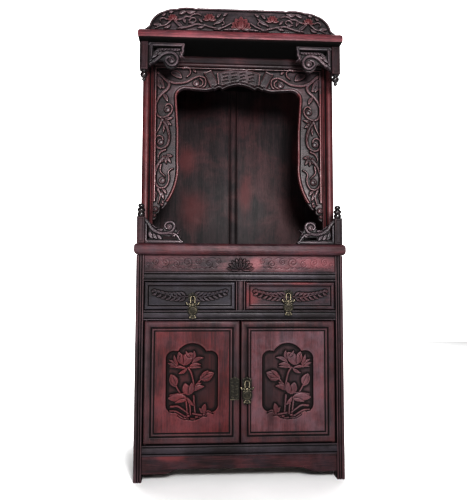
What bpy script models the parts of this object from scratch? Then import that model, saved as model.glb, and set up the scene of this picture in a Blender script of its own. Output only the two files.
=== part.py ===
"""Household altar cabinet.

A cupboard with two doors under two drawers carries an open niche with a carved arch, a canopy and a crest.
Metres, +Z up. The front faces -Y and the origin is on the floor under the middle of the cabinet.
Outlines and carvings are written in UNIT from an anchor, because that is how a carver sets them out.
"""
import math

import bmesh
import bpy
from mathutils import Matrix, Vector

MM = 0.001
UNIT = 1 * MM                       # what 1 stands for in the outlines, profiles and carvings below
GAP = 0.3 * MM                      # clearance between two pieces that touch
WELD = 0.01 * MM                    # corners closer than this are one corner
SIDES = (("left", -1), ("right", 1))
SMALL_LEAF = 800                    # square units; a smaller leaf gets fewer facets
LEAF_SEGMENTS = 4
STROKE_SINK = (0.30 * MM, 0.04 * MM)    # depth of the first carved stroke, and what each next one adds
LEAF_SINK = (0.17 * MM, 0.03 * MM)
SINK_CYCLE = 20                     # leaves after which their depth starts again

# Overall plan
SILL_LENGTH = 680 * MM
CANOPY_SHORTFALL = 2 * MM           # canopy's ends behind the sill's ends
CABINET_DEPTH = 478 * MM
SILL_SIDE_OVERHANG = 6 * MM
FRONT_OVERHANG = 18 * MM            # sill and canopy in front of the legs
NICHE_SETBACK = 107 * MM            # arch behind the front of the legs

# Heights of the lower carcass, from the floor up
APRON_TOP = 79 * MM
APRON_DROP = 55 * MM                # at the legs
APRON_RISE = 14 * MM                # how much higher the middle stretch is
BOTTOM_RAIL_HEIGHT = 33.6 * MM
DOOR_OPENING_HEIGHT = 389 * MM
DRAWER_RAIL_HEIGHT = 31.8 * MM
DRAWER_OPENING_HEIGHT = 92.6 * MM
FRIEZE_RAIL_HEIGHT = 30 * MM
FRIEZE_HEIGHT = 54 * MM
SILL_THICKNESS = 37 * MM

# Heights of the upper carcass
NICHE_HEIGHT = 667 * MM
CANOPY_THICKNESS = 36 * MM
CREST_HEIGHT = 82 * MM

# Sticks and boards of the lower carcass
LEG_WIDTH = 25 * MM
LEG_DEPTH = 40 * MM
RAIL_RECESS = 4 * MM                # rails thinner than the legs
UPRIGHT_WIDTH = 31 * MM
BEAD_WIDTH = 6.5 * MM
BEAD_DEPTH = 2 * MM
EDGE_ROUNDING = 4 * MM
BULLNOSE = 13 * MM
SIDE_PANEL_THICKNESS = 10 * MM
SIDE_PANEL_INSET = 4 * MM
BACK_PANEL_THICKNESS = 9 * MM
BACK_PANEL_INSET = 12 * MM
FLOOR_THICKNESS = 12 * MM
FLOOR_DROP = 3 * MM                 # floor board below the bottom rail's top
DUST_BOARD_THICKNESS = 10 * MM
DIVIDER_THICKNESS = 12 * MM
APRON_THICKNESS = 16 * MM
APRON_INSET = 6 * MM
APRON_STEP_START = 68 * MM          # from the leg to the ogee
APRON_STEP_LENGTH = 52 * MM
FRIEZE_THICKNESS = 14 * MM
FRIEZE_INSET = 4 * MM

# Doors
DOOR_INSET = 3 * MM
DOOR_THICKNESS = 22 * MM
DOOR_SIDE_GAP = 3 * MM
DOOR_END_GAP = 2 * MM
DOOR_MEETING_GAP = 1.5 * MM         # from the middle line to either door
DOOR_FRAME_WIDTH = 34 * MM
DOOR_LIP_WIDTH = 6.5 * MM           # front lip of the frame over the panel's edge
DOOR_LIP_BACK = 8 * MM
DOOR_PANEL_THICKNESS = 13 * MM
PIVOT_INSET = 7 * MM                # hinge axis from the door's side and from its face
PIVOT_RADIUS = 4 * MM
PIVOT_HOLE_RADIUS = 4.6 * MM
PIVOT_LENGTH = 9 * MM
PIVOT_HOLE_DEPTH = 11 * MM
CARTOUCHE_HALF_WIDTH = 83.5 * MM
CARTOUCHE_HALF_HEIGHT = 122.5 * MM
CARTOUCHE_LOBE_HALF = 45 * MM
CARTOUCHE_LOBE_RISE = 25 * MM
CARTOUCHE_CORNER = 25 * MM
CARTOUCHE_SHOULDER_SLOPE = 1 * MM
CARTOUCHE_DEPTH = 6 * MM

# Drawers
DRAWER_GAP = 2.3 * MM
DRAWER_FRONT_THICKNESS = 20 * MM
DRAWER_FRONT_INSET = 2 * MM
DRAWER_EDGE_DROP = 3 * MM           # the front's edge behind its highest moulding
DRAWER_MOULDING = (                 # (inset, rise) steps from the edge to the carved field
    (3 * MM, 2.6 * MM), (4 * MM, 0.4 * MM), (5 * MM, -0.6 * MM), (2 * MM, -3.2 * MM), (3 * MM, 0.0),
    (1.5 * MM, -0.8 * MM),
)
DRAWER_CARVING_RISE = 2.6 * MM
DRAWER_BACK_GAP = 36.7 * MM         # behind the drawer, before the back panel
DRAWER_BOX_HEIGHT = 68 * MM
DRAWER_BOX_SIDE_GAP = 2 * MM        # behind the edge of the drawer's front
DRAWER_WALL = 9 * MM
DRAWER_BOTTOM = 6 * MM

# Brass
PLATE_THICKNESS = 1.6 * MM
PLATE_WIDTH = 30 * MM
PLATE_CROWN = 14 * MM
DRAWER_PLATE_TAIL = 16 * MM
DOOR_PLATE_TAIL = 61 * MM
PULL_AXIS_STANDOFF = 3.8 * MM       # pivot of the pulls in front of the legs' front face
PULL_THICKNESS = 3 * MM
PULL_PLAY = 0.5 * MM                # between a pull's bar and the ring around it
PULL_DISC_RADIUS = 13.5 * MM
PULL_DISC_DROP = 45 * MM            # disc's centre below the pivot
PULL_DISC_RISE = 1 * MM
STAPLE_WIRE_RADIUS = 1.2 * MM
STAPLE_RING_SIDES = 7
LEFT_DRAWER_PULL = (-153 * MM, 578 * MM)
RIGHT_DRAWER_PULL = (154 * MM, 588 * MM)
RIGHT_DOOR_PULL = (21 * MM, 311 * MM)
LEFT_DOOR_PLATE = (-18 * MM, 311 * MM)

# Niche
NICHE_POST_WIDTH = 39 * MM
NICHE_POST_DEPTH = 32 * MM
POST_GROOVE_DEPTH = 5 * MM
POST_ROUND_RISE = 8 * MM            # the half round in front of the groove
NICHE_SIDE_OVERHANG = 7 * MM        # posts behind the sill's ends
TOP_RAIL_HEIGHT = 36 * MM
TOP_RAIL_DEPTH = 30 * MM
ARCH_THICKNESS = 14 * MM
ARCH_INSET = 5 * MM
ARCH_SIDE_LENGTH = 543 * MM
ARCH_BORDER_INSET = 5 * MM
ARCH_BORDER_RADIUS = 3.6 * MM
CARVING_ROOT = 5 * MM               # how far raised boards of the carving reach into the arch
BANNER_RISE = 4.5 * MM
BANNER_TAIL_RISE = 3 * MM
BANNER_ROLL_RADIUS = 5 * MM
LETTER_RISE = 1.1 * MM
LETTER_STROKE = 2.8 * MM
LETTER_COLUMNS = (-46 * MM, -16 * MM, 14 * MM, 44 * MM)
LETTER_WIDTHS = (15 * MM, 17 * MM)  # one for each row, top row first
LETTER_TOP = 33 * MM                # below the rail
LETTER_PITCH = 13 * MM
NICHE_SIDE_THICKNESS = 9 * MM
NICHE_SIDE_INSET = 6 * MM
NICHE_BACK_THICKNESS = 8 * MM
NICHE_BACK_INSET = 16 * MM          # panels' back in front of the cabinet's back
NICHE_MUNTIN_WIDTH = 38 * MM
NICHE_MUNTIN_THICKNESS = 14 * MM
NICHE_MUNTIN_PROUD = 3 * MM         # muntin behind the panels' back

# Front plane of the niche
HANGING_POST_WIDTH = 27 * MM
HANGING_POST_LENGTH = 93.5 * MM
STUB_WIDTH = 25 * MM
STUB_HEIGHT = 87 * MM
POST_FACE_RISE = 1 * MM
BRACKET_THICKNESS = 14 * MM
BRACKET_INSET = 6 * MM
CREST_END_INSET = 8 * MM            # crest's ends behind the canopy's ends
CREST_THICKNESS = 16 * MM
CREST_SETBACK = 18 * MM
CREST_BORDER_INSET = 4.5 * MM
CREST_BORDER_RADIUS = 2.6 * MM
CREST_LOTUS_RISE = 14 * MM          # foot of the lotus above the canopy

# Places worked out from the sizes
FRONT = -CABINET_DEPTH / 2
BACK = CABINET_DEPTH / 2
LEG_FRONT = FRONT + FRONT_OVERHANG
RAIL_DEPTH = LEG_DEPTH - RAIL_RECESS
ARCH_FRONT = LEG_FRONT + NICHE_SETBACK
LEG_OUTER = SILL_LENGTH / 2 - SILL_SIDE_OVERHANG
OPENING_HALF = LEG_OUTER - LEG_WIDTH
DOOR_BOTTOM = APRON_TOP + BOTTOM_RAIL_HEIGHT
DRAWER_RAIL_BOTTOM = DOOR_BOTTOM + DOOR_OPENING_HEIGHT
DRAWER_BOTTOM_LINE = DRAWER_RAIL_BOTTOM + DRAWER_RAIL_HEIGHT
FRIEZE_RAIL_BOTTOM = DRAWER_BOTTOM_LINE + DRAWER_OPENING_HEIGHT
FRIEZE_BOTTOM = FRIEZE_RAIL_BOTTOM + FRIEZE_RAIL_HEIGHT
SILL_BOTTOM = FRIEZE_BOTTOM + FRIEZE_HEIGHT
SILL_TOP = SILL_BOTTOM + SILL_THICKNESS
CEILING = SILL_TOP + NICHE_HEIGHT
CANOPY_TOP = CEILING + CANOPY_THICKNESS
BACK_PANEL_FRONT = BACK - BACK_PANEL_INSET - BACK_PANEL_THICKNESS
NICHE_OUTER = SILL_LENGTH / 2 - NICHE_SIDE_OVERHANG
NICHE_INNER = NICHE_OUTER - NICHE_POST_WIDTH
RAIL_UNDERSIDE = CEILING - TOP_RAIL_HEIGHT
PULL_AXIS_Y = LEG_FRONT - PULL_AXIS_STANDOFF
PULL_BAR_RADIUS = PULL_THICKNESS / 2 * math.sqrt(2)
STAPLE_CLEAR_RADIUS = PULL_BAR_RADIUS + PULL_PLAY + STAPLE_WIRE_RADIUS
STAPLE_RING_RADIUS = STAPLE_CLEAR_RADIUS / math.cos(math.pi / STAPLE_RING_SIDES)
DRAWER_EDGE_Y = LEG_FRONT + DRAWER_FRONT_INSET + DRAWER_EDGE_DROP
DRAWER_FIELD_Y = DRAWER_EDGE_Y - sum(rise for _, rise in DRAWER_MOULDING)

ROSEWOOD = ((0.060, 0.030, 0.026), 0.42, 0.0)
RED_ROSEWOOD = ((0.110, 0.040, 0.034), 0.40, 0.0)
EBONY = ((0.018, 0.016, 0.017), 0.30, 0.0)
PINE = ((0.230, 0.150, 0.090), 0.70, 0.0)
BRASS = ((0.240, 0.200, 0.130), 0.45, 1.0)


def clear_scene():
    """Remove every object, so that the script can run again in the same file."""
    for item in list(bpy.data.objects):
        bpy.data.objects.remove(item, do_unlink=True)


def collection(name):
    """Return a new collection linked to the scene."""
    group = bpy.data.collections.new(name)
    bpy.context.scene.collection.children.link(group)
    return group


def material(name, finish):
    """Return a Principled material from a (colour, roughness, metallic) finish."""
    colour, roughness, metallic = finish
    result = bpy.data.materials.new(name)
    result.use_nodes = True
    shader = result.node_tree.nodes["Principled BSDF"]
    shader.inputs["Base Color"].default_value = (*colour, 1.0)
    shader.inputs["Roughness"].default_value = roughness
    shader.inputs["Metallic"].default_value = metallic
    return result


def add_piece(name, mesh, finish):
    """Put a mesh in the cabinet's collection as one named piece with its own material."""
    mesh.name = name
    mesh.materials.clear()
    mesh.materials.append(material(name, finish))
    piece = bpy.data.objects.new(name, mesh)
    PARTS.objects.link(piece)
    return piece


def add_helper(name, data):
    """Put a cutter or a guide in the helpers' collection."""
    helper = bpy.data.objects.new(name, data)
    helper.hide_render = True
    helper.display_type = "WIRE"
    HELPERS.objects.link(helper)
    return helper


def finished_mesh(bm, name):
    """Turn a bmesh into a mesh whose faces point outwards."""
    bmesh.ops.recalc_face_normals(bm, faces=bm.faces)
    mesh = bpy.data.meshes.new(name)
    bm.to_mesh(mesh)
    bm.free()
    return mesh


def box_mesh(low, high):
    """Return a box between two corners."""
    bm = bmesh.new()
    bmesh.ops.create_cube(bm, size=1.0)
    size = Vector(high) - Vector(low)
    middle = (Vector(high) + Vector(low)) / 2
    bmesh.ops.scale(bm, vec=size, verts=bm.verts)
    bmesh.ops.translate(bm, vec=middle, verts=bm.verts)
    return finished_mesh(bm, "box")


def cylinder_mesh(centre, radius, low, high, axis="Z", segments=12):
    """Return a cylinder along an axis between two places on it."""
    bm = bmesh.new()
    bmesh.ops.create_cone(
        bm, cap_ends=True, segments=segments, radius1=radius, radius2=radius, depth=high - low,
    )
    if axis == "Y":
        bmesh.ops.rotate(bm, verts=bm.verts, matrix=Matrix.Rotation(math.pi / 2, 3, "X"))
        place = Vector((centre[0], (low + high) / 2, centre[1]))
    else:
        place = Vector((centre[0], centre[1], (low + high) / 2))
    bmesh.ops.translate(bm, vec=place, verts=bm.verts)
    return finished_mesh(bm, "cylinder")


def curve_to_mesh(curve, matrix):
    """Turn a curve into a closed mesh in world coordinates and remove the curve."""
    guide = add_helper("guide", curve)
    bpy.context.view_layer.update()
    evaluated = guide.evaluated_get(bpy.context.evaluated_depsgraph_get())
    mesh = bpy.data.meshes.new_from_object(evaluated)
    bpy.data.objects.remove(guide, do_unlink=True)
    bpy.data.curves.remove(curve)
    bm = bmesh.new()
    bm.from_mesh(mesh)
    bpy.data.meshes.remove(mesh)
    bmesh.ops.remove_doubles(bm, verts=bm.verts, dist=WELD)
    bmesh.ops.transform(bm, matrix=matrix, verts=bm.verts)
    return finished_mesh(bm, "curve")


def prism_mesh(loops, axis, low, high):
    """Extrude flat outlines along an axis; a second loop is a hole.

    The outlines hold (y, z) for axis X, (x, z) for axis Y and (x, y) for axis Z.
    """
    curve = bpy.data.curves.new("outline", "CURVE")
    curve.dimensions = "2D"
    curve.fill_mode = "BOTH"
    curve.extrude = (high - low) / 2
    for loop in loops:
        spline = curve.splines.new("POLY")
        spline.points.add(len(loop) - 1)
        for point, (u, v) in zip(spline.points, loop):
            point.co = (u, v, 0, 1)
        spline.use_cyclic_u = True
    middle = (low + high) / 2
    turns = {
        "X": Matrix(((0, 0, 1, middle), (1, 0, 0, 0), (0, 1, 0, 0), (0, 0, 0, 1))),
        "Y": Matrix(((1, 0, 0, 0), (0, 0, -1, middle), (0, 1, 0, 0), (0, 0, 0, 1))),
        "Z": Matrix(((1, 0, 0, 0), (0, 1, 0, 0), (0, 0, 1, middle), (0, 0, 0, 1))),
    }
    return curve_to_mesh(curve, turns[axis])


def stroke_mesh(points, y, radius, tip=1.0):
    """Return a carved stroke: a ridged tube through (x, z) points at depth y, thinner at its last end."""
    curve = bpy.data.curves.new("stroke", "CURVE")
    curve.dimensions = "3D"
    curve.bevel_depth = radius
    curve.bevel_resolution = 0
    curve.use_fill_caps = True
    spline = curve.splines.new("POLY")
    spline.points.add(len(points) - 1)
    last = len(points) - 1
    for i, (point, (x, z)) in enumerate(zip(spline.points, points)):
        point.co = (x, y, z, 1)
        point.radius = 1.0 + (tip - 1.0) * i / last
    return curve_to_mesh(curve, Matrix.Identity(4))


def petal_mesh(centre, y, size, tilt, rings):
    """Return a petal or leaf: an ellipsoid of size (width, length, rise) leaned by tilt degrees to +X."""
    width, length, rise = size
    bm = bmesh.new()
    bmesh.ops.create_uvsphere(bm, u_segments=LEAF_SEGMENTS, v_segments=rings, radius=1.0)
    bmesh.ops.scale(bm, vec=(width / 2, rise, length / 2), verts=bm.verts)
    bmesh.ops.rotate(bm, verts=bm.verts, matrix=Matrix.Rotation(math.radians(tilt), 3, "Y"))
    bmesh.ops.translate(bm, vec=(centre[0], y, centre[1]), verts=bm.verts)
    return finished_mesh(bm, "petal")


def carving(face, strokes, leaves, anchor, flip):
    """Return carved strokes (points, radius, tip) and leaves (x, z, width, length, rise, lean) on a face.

    Sizes are in UNIT, from the anchor. Each piece is sunk a little deeper than the last, so that no two of
    them meet the face or each other edge to edge.
    """
    meshes = []
    for points, radius, tip in strokes:
        depth = face + STROKE_SINK[0] + STROKE_SINK[1] * len(meshes)
        meshes.append(stroke_mesh(points, depth, radius * UNIT, tip))
    for x, z, width, length, rise, lean in leaves:
        depth = face + LEAF_SINK[0] + LEAF_SINK[1] * (len(meshes) % SINK_CYCLE)
        centre = (anchor[0] + flip * x * UNIT, anchor[1] + z * UNIT)
        rings = 4 if length * width > SMALL_LEAF else 3
        size = (width * UNIT, length * UNIT, rise * UNIT)
        meshes.append(petal_mesh(centre, depth, size, flip * lean, rings))
    return meshes


def joined(base, meshes, operation="UNION"):
    """Join meshes to a base mesh, or cut them from it, and return the result."""
    piece = add_helper("base", base)
    helpers = []
    for mesh in meshes:
        helper = add_helper("operand", mesh)
        modifier = piece.modifiers.new("join", "BOOLEAN")
        modifier.operation = operation
        modifier.solver = "MANIFOLD"
        modifier.object = helper
        helpers.append(helper)
    bpy.context.view_layer.update()
    evaluated = piece.evaluated_get(bpy.context.evaluated_depsgraph_get())
    result = bpy.data.meshes.new_from_object(evaluated)
    for helper in [piece] + helpers:
        bpy.data.objects.remove(helper, do_unlink=True)
    for mesh in [base] + list(meshes):
        bpy.data.meshes.remove(mesh)
    return result


def turned_mesh(profile, centre, segments=9):
    """Turn a profile of (radius, z) steps in UNIT, top to bottom, about a vertical axis."""
    mesh = bpy.data.meshes.new("profile")
    corners = [(radius * UNIT, 0, z * UNIT) for radius, z in profile]
    edges = [(i, i + 1) for i in range(len(corners) - 1)]
    mesh.from_pydata(corners, edges, [])
    guide = add_helper("turning", mesh)
    screw = guide.modifiers.new("turn", "SCREW")
    screw.steps = segments
    screw.render_steps = segments
    screw.use_merge_vertices = True
    screw.merge_threshold = WELD
    bpy.context.view_layer.update()
    evaluated = guide.evaluated_get(bpy.context.evaluated_depsgraph_get())
    result = bpy.data.meshes.new_from_object(evaluated)
    bpy.data.objects.remove(guide, do_unlink=True)
    bpy.data.meshes.remove(mesh)
    bm = bmesh.new()
    bm.from_mesh(result)
    bmesh.ops.remove_doubles(bm, verts=bm.verts, dist=WELD)
    bmesh.ops.translate(bm, vec=centre, verts=bm.verts)
    bmesh.ops.recalc_face_normals(bm, faces=bm.faces)
    bm.to_mesh(result)
    bm.free()
    result.shade_smooth()
    return result


def chain(corners, anchor=(0.0, 0.0), flip=1, step=24.0):
    """Return points along a line of corners (x, z, bulge) in UNIT, placed at an anchor.

    A bulge is the tangent of a quarter of the arc to the next corner, positive anticlockwise.
    flip -1 mirrors x.
    """
    points = []
    for (x0, z0, bulge), (x1, z1, _) in zip(corners, corners[1:]):
        sweep = 4 * math.atan(bulge)
        count = max(1, math.ceil(abs(math.degrees(sweep)) / step))
        start = Vector((x0, z0))
        chord = Vector((x1, z1)) - start
        if count == 1:
            points.append(start)
            continue
        offset = (1 - bulge * bulge) / (4 * bulge)
        centre = start + chord / 2 + Vector((-chord.y, chord.x)) * offset
        for i in range(count):
            arm = (start - centre).copy()
            arm.rotate(Matrix.Rotation(sweep * i / count, 2))
            points.append(centre + arm)
    points.append(Vector(corners[-1][:2]))
    return [(anchor[0] + flip * p.x * UNIT, anchor[1] + p.y * UNIT) for p in points]


def spiral(centre, start, turn, radius_from, radius_to, anchor=(0.0, 0.0), flip=1, ease=1.0, step=30.0):
    """Return points along a spiral in UNIT, from a start angle through a turn, both in degrees."""
    count = max(2, round(abs(turn) / step))
    points = []
    for i in range(count + 1):
        share = i / count
        angle = math.radians(start + turn * share)
        radius = radius_from + (radius_to - radius_from) * share ** ease
        x = centre[0] + radius * math.cos(angle)
        z = centre[1] + radius * math.sin(angle)
        points.append((anchor[0] + flip * x * UNIT, anchor[1] + z * UNIT))
    return points


def inside_line(points, distance):
    """Return the points moved to the left of their line by a distance."""
    moved = []
    for i, (x, z) in enumerate(points):
        before = points[max(i - 1, 0)]
        after = points[min(i + 1, len(points) - 1)]
        along = Vector((after[0] - before[0], after[1] - before[1])).normalized()
        moved.append((x - along.y * distance, z + along.x * distance))
    return moved


def rail_section(front, depth, low, high):
    """Return the (y, z) section of a rail: a bead along each edge and a band between two grooves."""
    back = front + depth
    groove = front + BEAD_DEPTH
    soft = front + BEAD_DEPTH / 4
    upper = [
        (soft, BEAD_WIDTH * 0.1),
        (front, BEAD_WIDTH * 0.35),
        (soft, BEAD_WIDTH * 0.75),
        (groove, BEAD_WIDTH),
        (soft, BEAD_WIDTH * 1.3),
    ]
    rising = [(y, low + dz) for y, dz in upper]
    falling = [(y, high - dz) for y, dz in reversed(upper)]
    crown = [(front, (low + high) / 2)]
    return [(back, low), (groove, low)] + rising + crown + falling + [(groove, high), (back, high)]


def leg_section(side, front, depth, inner, outer):
    """Return the (x, y) section of a leg with two beads beside the opening and a rounded outer corner."""
    width = outer - inner
    second = width - EDGE_ROUNDING * 1.3 - BEAD_WIDTH
    across = [
        (0.0, depth), (0.0, BEAD_DEPTH), (BEAD_WIDTH * 0.12, 0.0), (BEAD_WIDTH * 0.7, 0.0),
        (BEAD_WIDTH, BEAD_DEPTH),
        (BEAD_WIDTH + second * 0.11, BEAD_DEPTH / 4), (BEAD_WIDTH + second * 0.38, BEAD_DEPTH / 4),
        (BEAD_WIDTH + second * 0.49, BEAD_DEPTH), (BEAD_WIDTH + second * 0.6, BEAD_DEPTH / 6),
        (BEAD_WIDTH + second, 0.0), (width - EDGE_ROUNDING * 0.4, EDGE_ROUNDING * 0.35),
        (width, EDGE_ROUNDING), (width, depth),
    ]
    return [(side * (inner + dx), front + dy) for dx, dy in across]


def framed_mesh(section, middle, width, height):
    """Return a mitred frame. The section holds (distance in from the outer edge, y); middle is its (x, z)."""
    bm = bmesh.new()
    corners = [bm.verts.new((width / 2 - inward, y, width / 2 - inward)) for inward, y in section]
    loop = [bm.edges.new((a, b)) for a, b in zip(corners, corners[1:] + corners[:1])]
    bmesh.ops.spin(
        bm, geom=corners + loop, cent=(0, 0, 0), axis=(0, 1, 0), angle=2 * math.pi, steps=4, use_merge=True,
    )
    bmesh.ops.remove_doubles(bm, verts=bm.verts, dist=WELD)
    opened = (height - width) / 2
    for vertex in bm.verts:
        vertex.co.z += math.copysign(opened, vertex.co.z)
    bmesh.ops.translate(bm, vec=(middle[0], 0, middle[1]), verts=bm.verts)
    return finished_mesh(bm, "frame")


def moulded_board_mesh(low, high, steps):
    """Return a board whose front face steps in and out; each step is (inset, rise towards the front)."""
    bm = bmesh.new()
    bmesh.ops.create_cube(bm, size=1.0)
    bmesh.ops.scale(bm, vec=Vector(high) - Vector(low), verts=bm.verts)
    bmesh.ops.translate(bm, vec=(Vector(high) + Vector(low)) / 2, verts=bm.verts)
    face = min(bm.faces, key=lambda item: item.calc_center_median().y)
    for inset, rise in steps:
        bmesh.ops.inset_region(bm, faces=[face], thickness=inset, depth=0, use_even_offset=True)
        bmesh.ops.translate(bm, vec=(0, -rise, 0), verts=face.verts)
    return finished_mesh(bm, "board")


def rounded_board_mesh(low, high, radius, segments=4):
    """Return a board with round front and side edges and a square back."""
    bm = bmesh.new()
    bmesh.ops.create_cube(bm, size=1.0)
    bmesh.ops.scale(bm, vec=Vector(high) - Vector(low), verts=bm.verts)
    bmesh.ops.translate(bm, vec=(Vector(high) + Vector(low)) / 2, verts=bm.verts)
    edges = []
    for edge in bm.edges:
        across = edge.verts[0].co - edge.verts[1].co
        middle = (edge.verts[0].co + edge.verts[1].co) / 2
        level = abs(across.z) < WELD
        if level and middle.y < high[1] - WELD:
            edges.append(edge)
    bmesh.ops.bevel(
        bm, geom=edges, offset=radius, segments=segments, profile=0.5, affect="EDGES", clamp_overlap=True,
    )
    return finished_mesh(bm, "board")


def build_lower_carcass():
    """Build the legs, rails, panels, boards and aprons under the sill."""
    top = SILL_BOTTOM - GAP
    for side_name, side in SIDES:
        front = leg_section(side, LEG_FRONT, LEG_DEPTH, OPENING_HALF, LEG_OUTER)
        add_piece(f"leg_front_{side_name}", prism_mesh([front], "Z", 0.0, top), RED_ROSEWOOD)
        low_x, high_x = sorted((side * OPENING_HALF, side * LEG_OUTER))
        back_leg = box_mesh((low_x, BACK - LEG_DEPTH, 0.0), (high_x, BACK, top))
        add_piece(f"leg_back_{side_name}", back_leg, ROSEWOOD)
        build_side(side_name, side, top)

    rails = (
        ("bottom_rail", APRON_TOP, DOOR_BOTTOM),
        ("drawer_rail", DRAWER_RAIL_BOTTOM, DRAWER_BOTTOM_LINE),
        ("frieze_rail", FRIEZE_RAIL_BOTTOM, FRIEZE_BOTTOM),
    )
    reach = OPENING_HALF - GAP
    for name, low, high in rails:
        section = rail_section(LEG_FRONT, RAIL_DEPTH, low, high)
        rail = prism_mesh([section], "X", -reach, reach)
        add_piece(name, with_pivot_holes(rail, name, low, high), ROSEWOOD)

    build_upright()
    build_front_apron()
    build_frieze()
    build_inner_boards()


def with_pivot_holes(rail, name, low, high):
    """Drill the rail above or below the doors for their wooden pivots."""
    holes = {
        "bottom_rail": (high - PIVOT_HOLE_DEPTH, high + PIVOT_HOLE_DEPTH),
        "drawer_rail": (low - PIVOT_HOLE_DEPTH, low + PIVOT_HOLE_DEPTH),
    }
    if name not in holes:
        return rail
    start, end = holes[name]
    cutters = [cylinder_mesh(pivot_place(side), PIVOT_HOLE_RADIUS, start, end) for _, side in SIDES]
    return joined(rail, cutters, "DIFFERENCE")


def pivot_place(side):
    """Return (x, y) of a door's hinge axis."""
    x = side * (OPENING_HALF - DOOR_SIDE_GAP - PIVOT_INSET)
    return (x, LEG_FRONT + DOOR_INSET + PIVOT_INSET)


def build_side(side_name, side, top):
    """Build one side panel and the apron rail under it."""
    low_y = LEG_FRONT + LEG_DEPTH + GAP
    high_y = BACK - LEG_DEPTH - GAP
    outer = side * (LEG_OUTER - SIDE_PANEL_INSET)
    inner = side * (LEG_OUTER - SIDE_PANEL_INSET - SIDE_PANEL_THICKNESS)
    low_x, high_x = sorted((outer, inner))
    panel = box_mesh((low_x, low_y, DOOR_BOTTOM + GAP), (high_x, high_y, top))
    add_piece(f"side_panel_{side_name}", panel, ROSEWOOD)
    outer = side * (LEG_OUTER - GAP)
    inner = side * (LEG_OUTER - APRON_THICKNESS)
    low_x, high_x = sorted((outer, inner))
    outline = apron_outline(low_y, high_y, DOOR_BOTTOM)
    add_piece(f"side_apron_{side_name}", prism_mesh([outline], "X", low_x, high_x), ROSEWOOD)


def apron_outline(start, end, top):
    """Return an apron between two places along its length, deep at the ends, with an ogee to its middle."""
    low = APRON_TOP - APRON_DROP
    high = low + APRON_RISE
    steps = 6
    rise = []
    for i in range(steps + 1):
        share = i / steps
        level = low + APRON_RISE * (1 - math.cos(math.pi * share)) / 2
        rise.append((start + APRON_STEP_START + APRON_STEP_LENGTH * share, level))
    fall = [(start + end - u, v) for u, v in reversed(rise)]
    middle = [((start + end) / 2, high)]
    return [(start, low)] + rise + middle + fall + [(end, low), (end, top), (start, top)]


def build_upright():
    """Build the short upright between the drawers, with a bead along each edge and a ridge between."""
    half = UPRIGHT_WIDTH / 2
    groove = LEG_FRONT + BEAD_DEPTH
    soft = LEG_FRONT + BEAD_DEPTH / 4
    ridge = half - BEAD_WIDTH
    edge = [
        (half, groove), (half - BEAD_WIDTH * 0.15, LEG_FRONT), (half - BEAD_WIDTH * 0.7, LEG_FRONT),
        (ridge, groove), (ridge * 0.83, soft), (ridge * 0.39, LEG_FRONT),
    ]
    section = [(half, LEG_FRONT + RAIL_DEPTH)] + edge + [(-x, y) for x, y in reversed(edge)]
    section.append((-half, LEG_FRONT + RAIL_DEPTH))
    upright = prism_mesh([section], "Z", DRAWER_BOTTOM_LINE + GAP, FRIEZE_RAIL_BOTTOM - GAP)
    add_piece("drawer_upright", upright, ROSEWOOD)


def build_front_apron():
    """Build the apron board under the bottom rail."""
    reach = OPENING_HALF - GAP
    front = LEG_FRONT + APRON_INSET
    outline = apron_outline(-reach, reach, APRON_TOP - GAP)
    add_piece("front_apron", prism_mesh([outline], "Y", front, front + APRON_THICKNESS), RED_ROSEWOOD)


def build_frieze():
    """Build the frieze board with its raised lotus."""
    reach = OPENING_HALF - GAP
    face = LEG_FRONT + FRIEZE_INSET
    low = FRIEZE_BOTTOM + GAP
    high = SILL_BOTTOM - GAP
    board = box_mesh((-reach, face, low), (reach, face + FRIEZE_THICKNESS, high))
    leaves = []
    for lean in (-72, -48, -24, 0, 24, 48, 72):
        out = 19 + 0.14 * abs(lean)
        angle = math.radians(lean)
        leaves.append((math.sin(angle) * out, math.cos(angle) * out, 11, 30, 2.6, lean))
    for side in (-1, 1):
        leaves.append((side * 34, -1, 7, 30, 2.4, side * 96))
    petals = carving(face, [], leaves, (0.0, (low + high) / 2 - 16 * UNIT), 1)
    add_piece("frieze_board", joined(board, petals), RED_ROSEWOOD)


def build_inner_boards():
    """Build the back panel, the floor, the dust board and the divider between the drawers."""
    reach = OPENING_HALF - GAP
    panel_low = (-reach, BACK_PANEL_FRONT, APRON_TOP)
    panel_high = (reach, BACK_PANEL_FRONT + BACK_PANEL_THICKNESS, SILL_BOTTOM - GAP)
    add_piece("back_panel", box_mesh(panel_low, panel_high), PINE)

    floor_half = LEG_OUTER - APRON_THICKNESS - GAP
    dust_half = LEG_OUTER - SIDE_PANEL_INSET - SIDE_PANEL_THICKNESS - GAP
    boards = (
        ("floor_board", floor_half, DOOR_BOTTOM - FLOOR_DROP, FLOOR_THICKNESS),
        ("dust_board", dust_half, DRAWER_BOTTOM_LINE, DUST_BOARD_THICKNESS),
    )
    for name, half, top, thickness in boards:
        add_piece(name, prism_mesh([notched_outline(half)], "Z", top - thickness, top), PINE)

    half = DIVIDER_THICKNESS / 2
    divider_low = (-half, LEG_FRONT + LEG_DEPTH + GAP, DRAWER_BOTTOM_LINE + GAP)
    divider_high = (half, BACK_PANEL_FRONT - GAP, SILL_BOTTOM - GAP)
    add_piece("drawer_divider", box_mesh(divider_low, divider_high), PINE)


def notched_outline(half):
    """Return a board's outline that fills the carcass to half on each side, with a notch at each leg."""
    narrow = OPENING_HALF - GAP
    front = LEG_FRONT + RAIL_DEPTH + GAP
    behind_leg = LEG_FRONT + LEG_DEPTH + GAP
    before_leg = BACK - LEG_DEPTH - GAP
    back = BACK_PANEL_FRONT - GAP
    right = [
        (narrow, front), (narrow, behind_leg), (half, behind_leg), (half, before_leg), (narrow, before_leg),
        (narrow, back),
    ]
    return right + [(-x, y) for x, y in reversed(right)]


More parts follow.
